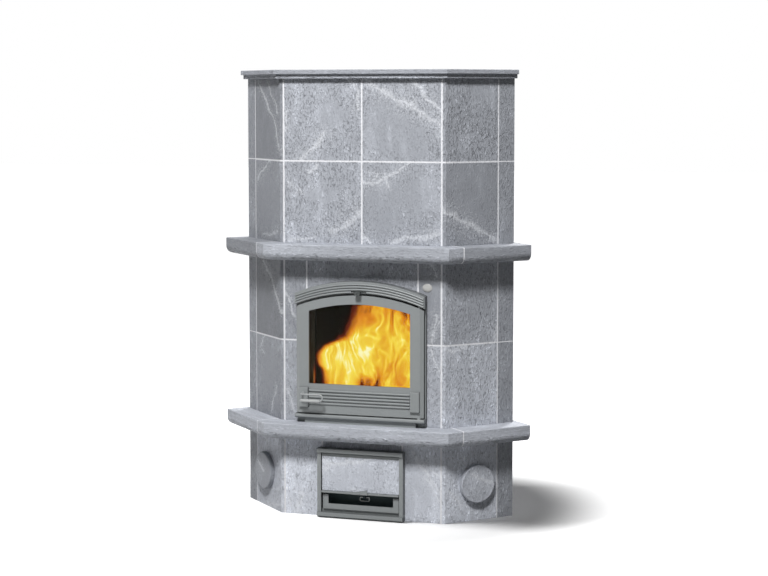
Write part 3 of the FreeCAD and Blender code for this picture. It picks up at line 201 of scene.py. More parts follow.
# Flame sheets: half width, foot, crown, radius of the arch, height of the waves, thickness
SHEET_HALF = 0.196
SHEET_FOOT = 0.425
SHEET_CROWN = 0.788
SHEET_ARCH = 0.66
SHEET_WAVE = 0.008
SHEET_THICK = 0.0006

# Ember bed: half length and half breadth, middle, underside, lowest top, height of the heap and of the lumps
BED_HALF = (0.178, 0.108)
BED_MIDDLE = -0.045
BED_UNDER = 0.3525
BED_TOP = 0.3545
BED_HEAP = 0.022
BED_LUMPS = 0.012

# Door rope: step along it, length of a turn of its strands, its middle's distance from its outline
ROPE_STEP = 0.0026
ROPE_TURN = 0.022
ROPE_INSET = 0.004

# Mortar smeared over the edges of the stones: its outer reach, where it is full, its weight.
# Then the weight of the veins, flecks and clouds of the shelves, tone, flecks and clouds of the walls.
SMEAR_REACH = 0.0024
SMEAR_FULL = 0.0012
SMEAR_WEIGHT = 0.8
VEIN_WEIGHT = 0.54
SHELF_GRAIN = (1.1, 0.8)
WALL_STONE = (0.74, 0.8, 0.7)
SEED_STEP = 1.618

# Depths behind which the castings change colour, and the length of the change
CASTING_BACK = 0.0
DOOR_SOOT = -0.2535
DRAWER_RECESS = -0.2595
SOOT_FADE = 0.006

# Plain fittings: nodes, colour, scale of the mottle, roughness, metallic
FITTINGS = {
    "handle_rod": (("door_handle", "hinge_pins"), (0.33, 0.345, 0.35), 1800, 0.36, 0.0),
    # The bail's wire is far paler than the other steel: painted light on the bail, which sits in the flap's
    # shadow
    "bail_wire": (("drawer_bail",), (0.78, 0.79, 0.78), 1800, 0.3, 0.2),
    "slide_steel": (("air_slide",), (0.035, 0.04, 0.04), 1800, 0.5, 0.0),
    "plate_steel": (("blank_plate",), (0.42, 0.42, 0.41), 1600, 0.4, 0.0),
}
FITTING_MOTTLE = 0.1
BOARD_COLOR = (0.7, 0.69, 0.62)
GLASS_COLOR = (0.96, 0.94, 0.9)
CHAR_COLOR = (0.006, 0.005, 0.004)
ASH_COLOR = (0.22, 0.2, 0.19)
BLACK = (0, 0, 0, 1)
WHITE = (1, 1, 1, 1)

# Lights: size, place, aim, and whether they light the floor
LIGHTS = {
    "key": ((1.1, 1.1), (0.3, -4.2, 5.3), (0, -0.2, 0.7), "EXCLUDE"),
    "top": ((2.2, 2.2), (-4.2, -1.6, 4.2), (0.3, 0.2, 0), "INCLUDE"),
    "back": ((2.4, 2.4), (1.2, 6.8, 5.6), (0, 0, 0.8), "EXCLUDE"),
}

# Floor: half size, share of its colour that it throws back, reach of the shadow, glow under the heater
FLOOR_HALF = 30
FLOOR_BOUNCE = 0.35
SHADOW_REACH = (0.6, 0.93)
FLOOR_GLOW = 0.08

# Camera: tilt and turn in degrees, upward shift
CAMERA_TILT = 4.396
CAMERA_TURN = 17.083
CAMERA_SHIFT = -0.07

# What all colour settings share
COLOR = {"subtype": "COLOR", "size": 3, "min": 0, "max": 1}


class HeaterStone(bpy.types.PropertyGroup):
    stone: FloatVectorProperty(
        name="Stone", description="Colour of the soapstone between its flecks",
        default=(0.40, 0.418, 0.46), **COLOR)
    vein: FloatVectorProperty(
        name="Veins", description="Colour of the pale veins",
        default=(0.82, 0.84, 0.88), **COLOR)
    mortar: FloatVectorProperty(
        name="Mortar", description="Colour of the joints",
        default=(0.77, 0.775, 0.805), **COLOR)
    # The core colour is also the painted shadow in the mortar beneath the crown
    core: FloatVectorProperty(
        name="Core", description="Colour of the sawn stones inside",
        default=(0.24, 0.24, 0.25), **COLOR)
    edge: FloatProperty(
        name="Worn edges", description="How far the stones' edges are worn round",
        unit="LENGTH", min=0, max=0.004, default=0.0012)


class HeaterMetal(bpy.types.PropertyGroup):
    casting: FloatVectorProperty(
        name="Castings", description="Colour of the paint on the door and the ash door",
        default=(0.22, 0.235, 0.238), **COLOR)
    steel: FloatVectorProperty(
        name="Steel", description="Colour of the bright fittings",
        default=(0.34, 0.35, 0.35), **COLOR)
    iron: FloatVectorProperty(
        name="Bare iron", description="Colour of the grate and the flue collar",
        default=(0.07, 0.07, 0.072), **COLOR)
    soot: FloatVectorProperty(
        name="Soot", description="Colour of what the fire blackens",
        default=(0.004, 0.0042, 0.0036), **COLOR)
    recess: FloatVectorProperty(
        name="Drawer inside", description="Colour of the drawer behind its front",
        default=(0.1, 0.13, 0.137), **COLOR)
    rope: FloatVectorProperty(
        name="Door rope", description="Colour of the glass fibre rope",
        default=(0.10, 0.10, 0.105), **COLOR)
    strands: IntProperty(
        name="Rope strands", description="Strands of the door rope", min=2, max=6, default=4)


class HeaterFire(bpy.types.PropertyGroup):
    ember: FloatVectorProperty(
        name="Embers", description="Colour of the coolest flames",
        default=(0.13, 0.017, 0.006), **COLOR)
    flame: FloatVectorProperty(
        name="Flames", description="Colour of the body of the flames",
        default=(0.74, 0.25, 0.015), **COLOR)
    glow: FloatVectorProperty(
        name="Glow", description="Colour of the bright flames",
        default=(0.86, 0.52, 0.032), **COLOR)
    bright: FloatVectorProperty(
        name="Bright flames", description="Colour of the hot streaks",
        default=(0.96, 0.78, 0.09), **COLOR)
    heart: FloatVectorProperty(
        name="Heart", description="Colour of the hottest flames",
        default=(1.0, 0.97, 0.55), **COLOR)
    bark: FloatVectorProperty(
        name="Bark", description="Colour of the charred logs",
        default=(0.05, 0.026, 0.012), **COLOR)


class HeaterStage(bpy.types.PropertyGroup):
    floor: FloatVectorProperty(
        name="Floor", description="Colour of the floor",
        default=(0.95, 0.95, 0.95), **COLOR)
    key: FloatProperty(
        name="Key light", description="Power of the large light in front", unit="POWER", min=0, default=475)
    top: FloatProperty(
        name="Floor light", description="Power of the broad light on the floor",
        unit="POWER", min=0, default=520)
    back: FloatProperty(
        name="Back light", description="Power of the light behind", unit="POWER", min=0, default=620)
    sky: FloatProperty(
        name="Room light", description="Strength of the light from all round", min=0, default=0.045)
    lens: FloatProperty(
        name="Lens", description="Focal length of the camera", unit="CAMERA", min=10, default=84.8)


# Node helpers
def add_node(tree, kind, values=None, **settings):
    """A node with its settings, and with inputs that are set or linked."""
    node = tree.nodes.new(kind)
    for name, value in settings.items():
        setattr(node, name, value)
    for socket, value in (values or {}).items():
        if isinstance(value, bpy.types.NodeSocket):
            tree.links.new(value, node.inputs[socket])
        else:
            node.inputs[socket].default_value = value
    return node


def maths(tree, operation, *terms, clamp=False):
    values = dict(enumerate(terms))
    return add_node(tree, "ShaderNodeMath", values, operation=operation, use_clamp=clamp).outputs[0]


def vectors(tree, operation, *terms):
    node = add_node(tree, "ShaderNodeVectorMath", dict(enumerate(terms)), operation=operation)
    single = operation in {"DOT_PRODUCT", "LENGTH", "DISTANCE"}
    return node.outputs["Value" if single else "Vector"]


def scaled(tree, vector, factor):
    return add_node(tree, "ShaderNodeVectorMath", {0: vector, 3: factor}, operation="SCALE").outputs[0]


def noise_node(tree, vector, scale, detail=2.0, roughness=0.5, distortion=0.0):
    values = {"Vector": vector, "Scale": scale, "Detail": detail, "Roughness": roughness}
    values["Distortion"] = distortion
    return add_node(tree, "ShaderNodeTexNoise", values)


def grain(tree, vector, scale, detail=2.0, roughness=0.5, distortion=0.0):
    return noise_node(tree, vector, scale, detail, roughness, distortion).outputs["Fac"]


def drift(tree, vector, scale, detail=2.0, roughness=0.5):
    """A noise of vectors about nought."""
    color = noise_node(tree, vector, scale, detail, roughness).outputs["Color"]
    return vectors(tree, "SUBTRACT", color, (0.5, 0.5, 0.5))


def axis_of(tree, vector, axis):
    return add_node(tree, "ShaderNodeSeparateXYZ", {0: vector}).outputs[axis]


def span(tree, value, start, end, low=0.0, high=1.0):
    """A smooth step from one value to another."""
    values = {"Value": value, "From Min": start, "From Max": end, "To Min": low, "To Max": high}
    return add_node(tree, "ShaderNodeMapRange", values, interpolation_type="SMOOTHSTEP").outputs["Result"]


def mix(tree, factor, first, second, blend_type="MIX"):
    values = {0: factor, 6: first, 7: second}
    return add_node(tree, "ShaderNodeMix", values, data_type="RGBA", blend_type=blend_type).outputs[2]


def opaque(color):
    return (*color, 1.0)


def new_group(name, inputs, outputs):
    """A shader node group with named inputs and outputs."""
    group = bpy.data.node_groups.new(name, "ShaderNodeTree")
    kinds = {"value": "NodeSocketFloat", "vector": "NodeSocketVector", "color": "NodeSocketColor"}
    for socket, kind in inputs:
        group.interface.new_socket(socket, in_out="INPUT", socket_type=kinds[kind])
    for socket, kind in outputs:
        group.interface.new_socket(socket, in_out="OUTPUT", socket_type=kinds[kind])
    return group, group.nodes.new("NodeGroupInput").outputs, group.nodes.new("NodeGroupOutput").inputs


def use_group(tree, name, values):
    return add_node(tree, "ShaderNodeGroup", values, node_tree=bpy.data.node_groups[name]).outputs


def new_material(name):
    material = bpy.data.materials.new(name)
    material.use_nodes = True
    return material, material.node_tree, material.node_tree.nodes["Principled BSDF"]


def place_on(tree):
    return add_node(tree, "ShaderNodeTexCoord").outputs["Object"]


def bump(tree, shader, height, strength, distance):
    values = {"Strength": strength, "Distance": distance, "Height": height}
    tree.links.new(add_node(tree, "ShaderNodeBump", values).outputs["Normal"], shader.inputs["Normal"])


# Shared effects
def make_stone_grain():
    """Flecks, clouds and fine grain of soapstone."""
    inputs = (("Vector", "vector"), ("Seed", "value"), ("Fleck", "value"), ("Cloud", "value"),
              ("Calm", "value"))
    group, given, result = new_group("Soapstone grain", inputs, (("Tone", "value"), ("Height", "value")))
    shift = scaled(group, (1.73, 0.51, 0.97), given["Seed"])
    at = vectors(group, "ADD", given["Vector"], shift)
    fine = grain(group, at, 420, 3, 0.65)
    fleck = grain(group, at, 175, 3, 0.6, 0.5)
    spark = grain(group, vectors(group, "ADD", at, (3.1, 7.7, 1.3)), 150, 3, 0.62, 0.7)
    pit = grain(group, vectors(group, "ADD", at, (5.9, 2.3, 8.1)), 95, 2, 0.5, 0.3)
    cloud = span(group, grain(group, at, 13, 5, 0.65, 0.9), 0.45, 0.68)
    slow = grain(group, at, 2.6, 2, 0.5)
    dark = maths(group, "MAXIMUM", span(group, fleck, 0.48, 0.33, 0.0, 0.75), span(group, pit, 0.34, 0.26))
    light = span(group, spark, 0.5, 0.66)
    quiet = maths(group, "MULTIPLY_ADD", given["Calm"], -0.62, 1.0)
    amount = maths(group, "MULTIPLY", given["Fleck"], quiet)
    lit = maths(group, "MULTIPLY", light, maths(group, "MULTIPLY_ADD", cloud, 0.62, 0.2))
    shade = maths(group, "MULTIPLY", dark, -0.42)
    flecks = maths(group, "MULTIPLY", maths(group, "ADD", lit, shade), amount)
    misty = maths(group, "MULTIPLY", maths(group, "MULTIPLY_ADD", cloud, 0.2, -0.07), given["Cloud"])
    tone = maths(group, "ADD", maths(group, "ADD", flecks, misty), 0.98)
    tone = maths(group, "ADD", tone, maths(group, "MULTIPLY_ADD", fine, 0.3, -0.15))
    tone = maths(group, "ADD", tone, maths(group, "MULTIPLY_ADD", slow, 0.2, -0.1))
    tone = maths(group, "ADD", tone, maths(group, "MULTIPLY", given["Calm"], -0.05))
    group.links.new(tone, result["Tone"])
    relief = maths(group, "MULTIPLY", maths(group, "SUBTRACT", light, dark), amount)
    group.links.new(maths(group, "MULTIPLY_ADD", fine, 0.5, relief), result["Height"])


def make_stone_vein():
    """A ragged pale vein between two places on a stone."""
    inputs = (("Place", "vector"), ("Start", "vector"), ("End", "vector"), ("Width", "value"),
              ("Seed", "value"))
    group, given, result = new_group("Stone vein", inputs, (("Mask", "value"),))
    at = vectors(group, "ADD", given["Place"], scaled(group, (0.37, 0.91, 0), given["Seed"]))
    wander = drift(group, at, 13)
    shiver = drift(group, at, 75, 3, 0.6)
    moved = vectors(group, "ADD", scaled(group, wander, 0.05), scaled(group, shiver, 0.014))
    point = vectors(group, "ADD", given["Place"], vectors(group, "MULTIPLY", moved, (1, 1, 0)))
    from_start = vectors(group, "SUBTRACT", point, given["Start"])
    run = vectors(group, "SUBTRACT", given["End"], given["Start"])
    along = maths(group, "DIVIDE", vectors(group, "DOT_PRODUCT", from_start, run),
                  vectors(group, "DOT_PRODUCT", run, run), clamp=True)
    away = vectors(group, "LENGTH", vectors(group, "SUBTRACT", from_start, scaled(group, run, along)))
    swell = maths(group, "MULTIPLY_ADD", grain(group, at, 22, 2), 3.0, -0.7)
    width = maths(group, "MULTIPLY", given["Width"], maths(group, "MAXIMUM", swell, 0.2))
    line = span(group, away, width, 0.0)
    broken = span(group, grain(group, at, 150, 3, 0.65), 0.3, 0.62, 0.35, 1.0)
    halo = span(group, away, maths(group, "MULTIPLY", given["Width"], 3.5), 0.0)
    specks = span(group, grain(group, at, 150, 3, 0.65), 0.48, 0.66)
    dust = maths(group, "MULTIPLY", maths(group, "MULTIPLY", halo, specks), 0.75)
    group.links.new(maths(group, "MAXIMUM", maths(group, "MULTIPLY", line, broken), dust), result["Mask"])


def make_stone_patch():
    """A soft-edged patch on a stone."""
    inputs = (("Place", "vector"), ("Middle", "vector"), ("Radius", "value"))
    group, given, result = new_group("Stone patch", inputs, (("Mask", "value"),))
    wander = drift(group, given["Place"], 17, 3)
    moved = vectors(group, "MULTIPLY", scaled(group, wander, 0.12), (1, 1, 0))
    away = vectors(group, "DISTANCE", vectors(group, "ADD", given["Place"], moved), given["Middle"])
    inner = maths(group, "MULTIPLY", given["Radius"], 0.55)
    group.links.new(span(group, away, given["Radius"], inner), result["Mask"])


def make_speckle():
    """Fine mottling for paint, bare iron, mortar and soot."""
    inputs = (("Vector", "vector"), ("Scale", "value"), ("Depth", "value"))
    group, given, result = new_group("Speckle", inputs, (("Tone", "value"), ("Height", "value")))
    fine = grain(group, given["Vector"], given["Scale"], 4, 0.6)
    broad = grain(group, given["Vector"], maths(group, "MULTIPLY", given["Scale"], 0.04), 3, 0.55)
    both = maths(group, "ADD", maths(group, "MULTIPLY_ADD", fine, 1.0, -0.5),
                 maths(group, "MULTIPLY_ADD", broad, 1.0, -0.5))
    group.links.new(maths(group, "MULTIPLY_ADD", both, given["Depth"], 1.0), result["Tone"])
    group.links.new(fine, result["Height"])


def make_painted_edge_shade():
    """Painted shade: the paint is darker where a casting turns away from its front."""
    group, given, result = new_group("Dark edges", (("Normal", "vector"),), (("Tone", "value"),))
    # Painted shade, stronger the more a face turns sideways
    facing = maths(group, "ABSOLUTE", axis_of(group, given["Normal"], "Y"))
    group.links.new(span(group, facing, 0.2, 0.85, 0.5, 1.0), result["Tone"])


def make_flame():
    """Licking flames on a sheet, from places across and up it: their heat."""
    inputs = (("Across", "value"), ("Up", "value"), ("Edge", "value"), ("Seed", "value"))
    group, given, result = new_group("Flame", inputs, (("Heat", "value"),))
    wide = maths(group, "MULTIPLY", given["Across"], 1.32)
    values = {"X": wide, "Y": given["Up"], "Z": given["Seed"]}
    place = add_node(group, "ShaderNodeCombineXYZ", values).outputs["Vector"]
    slow = drift(group, place, 2.3, 2, 0.45)
    quick = drift(group, place, 6.5)
    flow = vectors(group, "ADD", scaled(group, slow, 0.36), scaled(group, quick, 0.1))
    swirl = vectors(group, "ADD", place, vectors(group, "MULTIPLY", flow, (1, 1, 0)))
    tall = vectors(group, "MULTIPLY", swirl, (1, 0.32, 1))
    body = grain(group, tall, 3.6, 4, 0.55)
    threads = ridge(group, tall, 5.0, 0.2)
    wisps = ridge(group, tall, 9.0, 0.15)
    hairs = ridge(group, tall, 17.0, 0.15)
    sway = maths(group, "MULTIPLY_ADD", grain(group, swirl, 6, 2), 0.08, -0.04)
    inside = maths(group, "ADD", maths(group, "SUBTRACT", given["Across"], given["Edge"]), sway)
    soft = span(group, given["Up"], 0.35, 0.85, 0.1, 0.3)
    side = maths(group, "POWER", span(group, inside, maths(group, "MULTIPLY", soft, -0.3), soft), 1.25)
    heat = maths(group, "MULTIPLY_ADD", body, 1.6, -0.24)
    heat = maths(group, "ADD", heat, maths(group, "MULTIPLY", threads, 0.12))
    heat = maths(group, "ADD", heat, maths(group, "MULTIPLY", wisps, 0.15))
    heat = maths(group, "ADD", heat, maths(group, "MULTIPLY", hairs, 0.1))
    heat = maths(group, "SUBTRACT", heat, span(group, given["Up"], 0.62, 1.1, 0.0, 0.3))
    off_logs = maths(group, "ABSOLUTE", maths(group, "SUBTRACT", given["Across"], 0.59))
    low = maths(group, "MULTIPLY", span(group, given["Up"], 0.2, 0.0), span(group, off_logs, 0.16, 0.04))
    heat = maths(group, "SUBTRACT", heat, maths(group, "MULTIPLY", low, 0.55))
    lit = maths(group, "MULTIPLY", heat, side)
    off_side = maths(group, "ABSOLUTE", maths(group, "SUBTRACT", given["Across"], 0.03))
    stray = maths(group, "MULTIPLY", span(group, off_side, 0.045, 0.0), span(group, given["Up"], 0.34, 0.06))
    stray = maths(group, "MULTIPLY", stray, maths(group, "MULTIPLY", body, 0.85))
    group.links.new(maths(group, "MAXIMUM", lit, stray), result["Heat"])


def ridge(tree, vector, scale, width):
    """Thin bright lines where a noise crosses its middle."""
    away = maths(tree, "ABSOLUTE", maths(tree, "SUBTRACT", grain(tree, vector, scale, 1, 0.5), 0.5))
    return span(tree, away, width * 0.5, 0.0)


# Pieces
def dress(name, material):
    """Give a node of the frame its finish."""
    slots = NODES[name].data.materials
    slots.clear()
    slots.append(material)


def soften(name, width, segments=2):
    """Round the sharp edges of a node."""
    weld = NODES[name].modifiers.new("Weld", "WELD")
    weld.merge_threshold = 0.00002
    bevel = NODES[name].modifiers.new("Worn edges", "BEVEL")
    bevel.width = width
    bevel.segments = segments
    bevel.limit_method = "ANGLE"
    bevel.angle_limit = math.radians(35)


def reach_along(name, direction):
    runs = [vertex.co.dot(direction) for vertex in NODES[name].data.vertices]
    return min(runs), max(runs)


def stone_material(name, face, tone, fleck, cloud, veins, calm, seed, level, settings):
    """Soapstone with the veins and calm patches of one stone."""
    material, tree, shader = new_material(f"soapstone_{name}")
    place = place_on(tree)
    along = ALONG[face]
    turn = -math.atan2(along.y, along.x)
    stretch = (0.36, 1, 1) if level else (1, 1, 0.46)
    lie = add_node(tree, "ShaderNodeMapping", {"Vector": place, "Rotation": (0, 0, turn)})
    lie = vectors(tree, "MULTIPLY", lie.outputs["Vector"], stretch)
    low_u, high_u = reach_along(name, along)
    low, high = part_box(name)
    across = vectors(tree, "DOT_PRODUCT", place, tuple(along))
    up = axis_of(tree, place, "Z")
    flat = add_node(tree, "ShaderNodeCombineXYZ", {"X": across, "Y": up}).outputs["Vector"]

    def on_stone(share_u, share_v):
        return (low_u + share_u * (high_u - low_u), low.z + share_v * (high.z - low.z), 0)

    still = None
    for middle_u, middle_v, radius in calm:
        values = {"Place": flat, "Middle": on_stone(middle_u, middle_v), "Radius": radius * (high.z - low.z)}
        patch = use_group(tree, "Stone patch", values)["Mask"]
        still = patch if still is None else maths(tree, "MAXIMUM", still, patch)
    if level:
        still = span(tree, up, low.z + 0.35 * (high.z - low.z), low.z + 0.5 * (high.z - low.z))
    values = {"Vector": lie, "Seed": seed, "Fleck": fleck, "Cloud": cloud}
    if still is not None:
        values["Calm"] = still
    surface = use_group(tree, "Soapstone grain", values)
    toned = maths(tree, "MULTIPLY", surface["Tone"], tone)
    if level:
        streaks = grain(tree, vectors(tree, "MULTIPLY", lie, (0.12, 1, 4)), 110, 4, 0.6)
        toned = maths(tree, "MULTIPLY", toned, span(tree, streaks, 0.3, 0.7, 0.9, 1.12))
    color = mix(tree, 1.0, opaque(settings.stone), toned, "MULTIPLY")
    pale = None
    for index, (width, *points) in enumerate(veins):
        for first, second in zip(points, points[1:]):
            values = {"Place": flat, "Start": on_stone(*first), "End": on_stone(*second),
                      "Width": width / 500, "Seed": seed + index * 0.37}
            mask = use_group(tree, "Stone vein", values)["Mask"]
            pale = mask if pale is None else maths(tree, "MAXIMUM", pale, mask)
    if pale is not None:
        color = mix(tree, maths(tree, "MULTIPLY", pale, VEIN_WEIGHT), color, opaque(settings.vein))
    rims = []
    if name in STONES and not name.startswith(("soot", "flap")):
        rims += [maths(tree, "SUBTRACT", across, low_u), maths(tree, "SUBTRACT", high_u, across)]
    for side, end in SHELF_JOINTS.get(name, ()):
        reach = reach_along(name, ALONG[side])[end]
        run = vectors(tree, "DOT_PRODUCT", place, tuple(ALONG[side]))
        rims.append(maths(tree, "ABSOLUTE", maths(tree, "SUBTRACT", run, reach)))
    if "upper" in name:
        rims.append(maths(tree, "SUBTRACT", up, low.z))
    if "lower" in name:
        rims.append(maths(tree, "SUBTRACT", high.z, up))
    if rims:
        nearest = rims[0]
        for rim in rims[1:]:
            nearest = maths(tree, "MINIMUM", nearest, rim)
        smear = span(tree, nearest, SMEAR_REACH, SMEAR_FULL)
        color = mix(tree, maths(tree, "MULTIPLY", smear, SMEAR_WEIGHT), color, opaque(settings.mortar))
    tree.links.new(color, shader.inputs["Base Color"])
    tree.links.new(span(tree, surface["Height"], -1.0, 0.5, 0.82, 0.58), shader.inputs["Roughness"])
    shader.inputs["Specular IOR Level"].default_value = 0.35
    bump(tree, shader, surface["Height"], 0.7, 0.003)
    return material


def speckled_material(name, color, scale, depth, roughness, metallic=0.0, relief=0.0, shine=0.5):
    """A plain finish with a fine mottle."""
    material, tree, shader = new_material(name)
    surface = use_group(tree, "Speckle", {"Vector": place_on(tree), "Scale": scale, "Depth": depth})
    tree.links.new(mix(tree, 1.0, opaque(color), surface["Tone"], "MULTIPLY"), shader.inputs["Base Color"])
    tree.links.new(span(tree, surface["Height"], 0.2, 0.8, roughness - 0.06, roughness + 0.06),
                   shader.inputs["Roughness"])
    shader.inputs["Metallic"].default_value = metallic
    shader.inputs["Specular IOR Level"].default_value = shine
    if relief:
        bump(tree, shader, surface["Height"], relief, 0.0005)
    return material


class HEATER_OT_stones(bpy.types.Operator):
    """Give each stone its own soapstone, and wear its edges"""
    bl_idname = "heater.stones"
    bl_label = "Stones"

    def execute(self, context):
        settings = context.scene.heater_stone
        make_stone_grain()
        make_stone_vein()
        make_stone_patch()
        seed = 1.0
        for name, (face, tone, fleck, cloud, veins, calm) in STONES.items():
            seed += SEED_STEP
            material = stone_material(name, face, tone, fleck, cloud, veins, calm, seed, False, settings)
            dress(name, material)
            soften(name, settings.edge)
        for name, (face, tone) in SHELVES.items():
            seed += SEED_STEP
            dress(name, stone_material(name, face, tone, *SHELF_GRAIN, (), (), seed, True, settings))
            if name != "crown_slab":
                soften(name, settings.edge)
        for name in ("wall_slabs", "rear_slabs", "flue_slab"):
            seed += SEED_STEP
            face = "front" if name != "wall_slabs" else "left"
            dress(name, stone_material(name, face, *WALL_STONE, (), (), seed, False, settings))
        return {"FINISHED"}


def mortar_material(settings):
    """Pale mortar with a painted shadow where it lies beneath the crown."""
    material, tree, shader = new_material("mortar")
    place = place_on(tree)
    surface = use_group(tree, "Speckle", {"Vector": place, "Scale": 700, "Depth": 0.16})
    pale = mix(tree, 1.0, opaque(settings.mortar), surface["Tone"], "MULTIPLY")
    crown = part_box("crown_slab")[0].z
    height = axis_of(tree, place, "Z")
    # Painted shadow: the mortar turns to the dark core colour just below the crown
    painted_crown_shadow = span(tree, height, crown - 0.006, crown - 0.0035)
    tree.links.new(mix(tree, painted_crown_shadow, pale, opaque(settings.core)), shader.inputs["Base Color"])
    shader.inputs["Roughness"].default_value = 0.85
    bump(tree, shader, surface["Height"], 0.4, 0.0005)
    return material


class HEATER_OT_core(bpy.types.Operator):
    """Give the mortar, the core and the insulation their finish"""
    bl_idname = "heater.core"
    bl_label = "Mortar and core"

    def execute(self, context):
        stone = context.scene.heater_stone
        metal = context.scene.heater_metal
        make_speckle()
        dress("mortar_joints", mortar_material(stone))
        core = speckled_material("sawn_core", stone.core, 300, 0.5, 0.85, relief=0.3)
        for name in ("core_walls", "core_ceiling", "ash_chamber"):
            dress(name, core)
        soot = speckled_material("sooted_stone", metal.soot, 120, 0.9, 0.9, relief=0.4, shine=0.05)
        for name in ("firebox_liners", "firebox_floor", "throat_slabs"):
            dress(name, soot)
        board = speckled_material("mineral_board", BOARD_COLOR, 900, 0.3, 0.95, relief=0.6)
        dress("insulation_board", board)
        return {"FINISHED"}


def casting_paint(name, depth, dark, settings):
    """Casting paint with painted shade on its edges, which turns to soot behind a depth."""
    material, tree, shader = new_material(name)
    spot = add_node(tree, "ShaderNodeTexCoord").outputs
    place = spot["Object"]
    surface = use_group(tree, "Speckle", {"Vector": place, "Scale": 1400, "Depth": 0.1})
    edges = use_group(tree, "Dark edges", {"Normal": spot["Normal"]})
    paint = mix(tree, 1.0, opaque(settings.casting), surface["Tone"], "MULTIPLY")
    # Painted shade: the sides that turn away from the front are darkened
    paint = mix(tree, 1.0, paint, edges["Tone"], "MULTIPLY")
    behind = axis_of(tree, place, "Y")
    sooty = span(tree, behind, depth, depth + SOOT_FADE)
    tree.links.new(mix(tree, sooty, paint, opaque(dark)), shader.inputs["Base Color"])
    tree.links.new(span(tree, sooty, 0.0, 1.0, 0.42, 0.9), shader.inputs["Roughness"])
    bump(tree, shader, surface["Height"], 0.12, 0.0005)
    return material


class HEATER_OT_castings(bpy.types.Operator):
    """Paint the door, the ash door and their fittings"""
    bl_idname = "heater.castings"
    bl_label = "Castings and fittings"

    def execute(self, context):
        metal = context.scene.heater_metal
        make_painted_edge_shade()
        paint = casting_paint("casting_paint", CASTING_BACK, metal.soot, metal)
        for name in ("door_leaf", "ash_frame", "ash_flap"):
            dress(name, paint)
        dress("door_frame", casting_paint("sooted_paint", DOOR_SOOT, metal.soot, metal))
        dress("ash_drawer", casting_paint("drawer_paint", DRAWER_RECESS, metal.recess, metal))
        steel = speckled_material("brushed_steel", metal.steel, 1800, 0.12, 0.4, 0.2)
        for name in ("handle_grip", "latch_bar", "glass_clips"):
            dress(name, steel)
        for finish, (names, color, scale, roughness, metallic) in FITTINGS.items():
            material = speckled_material(finish, color, scale, FITTING_MOTTLE, roughness, metallic)
            for name in names:
                dress(name, material)
        iron = speckled_material("bare_iron", metal.iron, 500, 0.4, 0.7, relief=0.4)
        for name in ("grate", "flue_collar"):
            dress(name, iron)
        glass, tree, shader = new_material("door_glass")
        shader.inputs["Base Color"].default_value = opaque(GLASS_COLOR)
        shader.inputs["Transmission Weight"].default_value = 1.0
        shader.inputs["IOR"].default_value = 1.12
        haze = grain(tree, place_on(tree), 40, 3)
        tree.links.new(span(tree, haze, 0.3, 0.8, 0.0, 0.03), shader.inputs["Roughness"])
        dress("door_glass", glass)
        return {"FINISHED"}


class HEATER_OT_rope(bpy.types.Operator):
    """Lay the twisted glass fibre rope in the door's groove"""
    bl_idname = "heater.rope"
    bl_label = "Door rope"

    def execute(self, context):
        settings = context.scene.heater_metal
        line = rope_line(ROPE_STEP)
        low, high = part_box("door_rope")
        thick = high.y - low.y
        strand_radius = thick * 0.2
        lay = (thick * 0.42, thick * 0.29)
        turns = round(len(line) * ROPE_STEP / ROPE_TURN)
        shape = bmesh.new()
        for strand in range(settings.strands):
            roll_strand(shape, line, turns, strand / settings.strands, lay, strand_radius)
        piece = finish_piece(context, "door_rope_twist", shape, rope_material(settings), smooth=True)
        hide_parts("door_rope")
        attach(piece, "fire_door")
        return {"FINISHED"}


def roll_strand(shape, line, turns, start, lay, radius, sides=7):
    """One strand: a grid rolled up into a closed tube that winds along the line."""
    count = len(line)
    sheet = bmesh.ops.create_grid(shape, x_segments=count, y_segments=sides, size=0.5)["verts"]
    for vertex in sheet:
        index = round((vertex.co.x + 0.5) * count) % count
        side = round((vertex.co.y + 0.5) * sides) % sides
        place, outward = line[index]
        angle = math.tau * (turns * index / count + start)
        turn = math.tau * side / sides
        across = math.cos(angle) * lay[0] + math.cos(turn) * radius
        deep = math.sin(angle) * lay[1] + math.sin(turn) * radius
        vertex.co = place + outward * across + Vector((0, deep, 0))


def rope_line(step):
    """Places along the middle of the door rope, with the way out at each."""
    low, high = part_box("door_rope")
    half = high.x
    shoulder = max(vertex.co.z for vertex in NODES["door_rope"].data.vertices if vertex.co.x > half - 0.0001)
    rise = high.z - shoulder
    radius = (half ** 2 + rise ** 2) / (2 * rise)
    side = half - ROPE_INSET
    foot = low.z + ROPE_INSET
    middle = high.z - radius
    bend = radius - ROPE_INSET
    spring = middle + math.sqrt(bend ** 2 - side ** 2)
    reach = math.asin(side / bend)
    depth = (low.y + high.y) / 2
    arc = [Vector((bend * math.sin(turn), depth, middle + bend * math.cos(turn)))
           for turn in (reach * (1 - index / 20) for index in range(41))]
    corners = [Vector((-side, depth, foot)), Vector((side, depth, foot)), Vector((side, depth, spring)), *arc,
               Vector((-side, depth, spring))]
    places = []
    for first, second in zip(corners, corners[1:] + corners[:1]):
        count = round((second - first).length / step)
        places.extend(first.lerp(second, index / count) for index in range(count))
    for _ in range(6):
        places = [(places[index - 1] + place + places[(index + 1) % len(places)]) / 3
                  for index, place in enumerate(places)]
    line = []
    for index, place in enumerate(places):
        way = (places[(index + 1) % len(places)] - places[index - 1]).normalized()
        line.append((place, way.cross(Vector((0, 1, 0)))))
    return line


def rope_material(settings):
    material, tree, shader = new_material("rope_twist")
    strands = grain(tree, place_on(tree), 1500, 3, 0.6, 0.4)
    color = mix(tree, span(tree, strands, 0.3, 0.7), opaque(settings.soot), opaque(settings.rope))
    tree.links.new(color, shader.inputs["Base Color"])
    shader.inputs["Roughness"].default_value = 0.9
    bump(tree, shader, strands, 0.5, 0.0006)
    return material


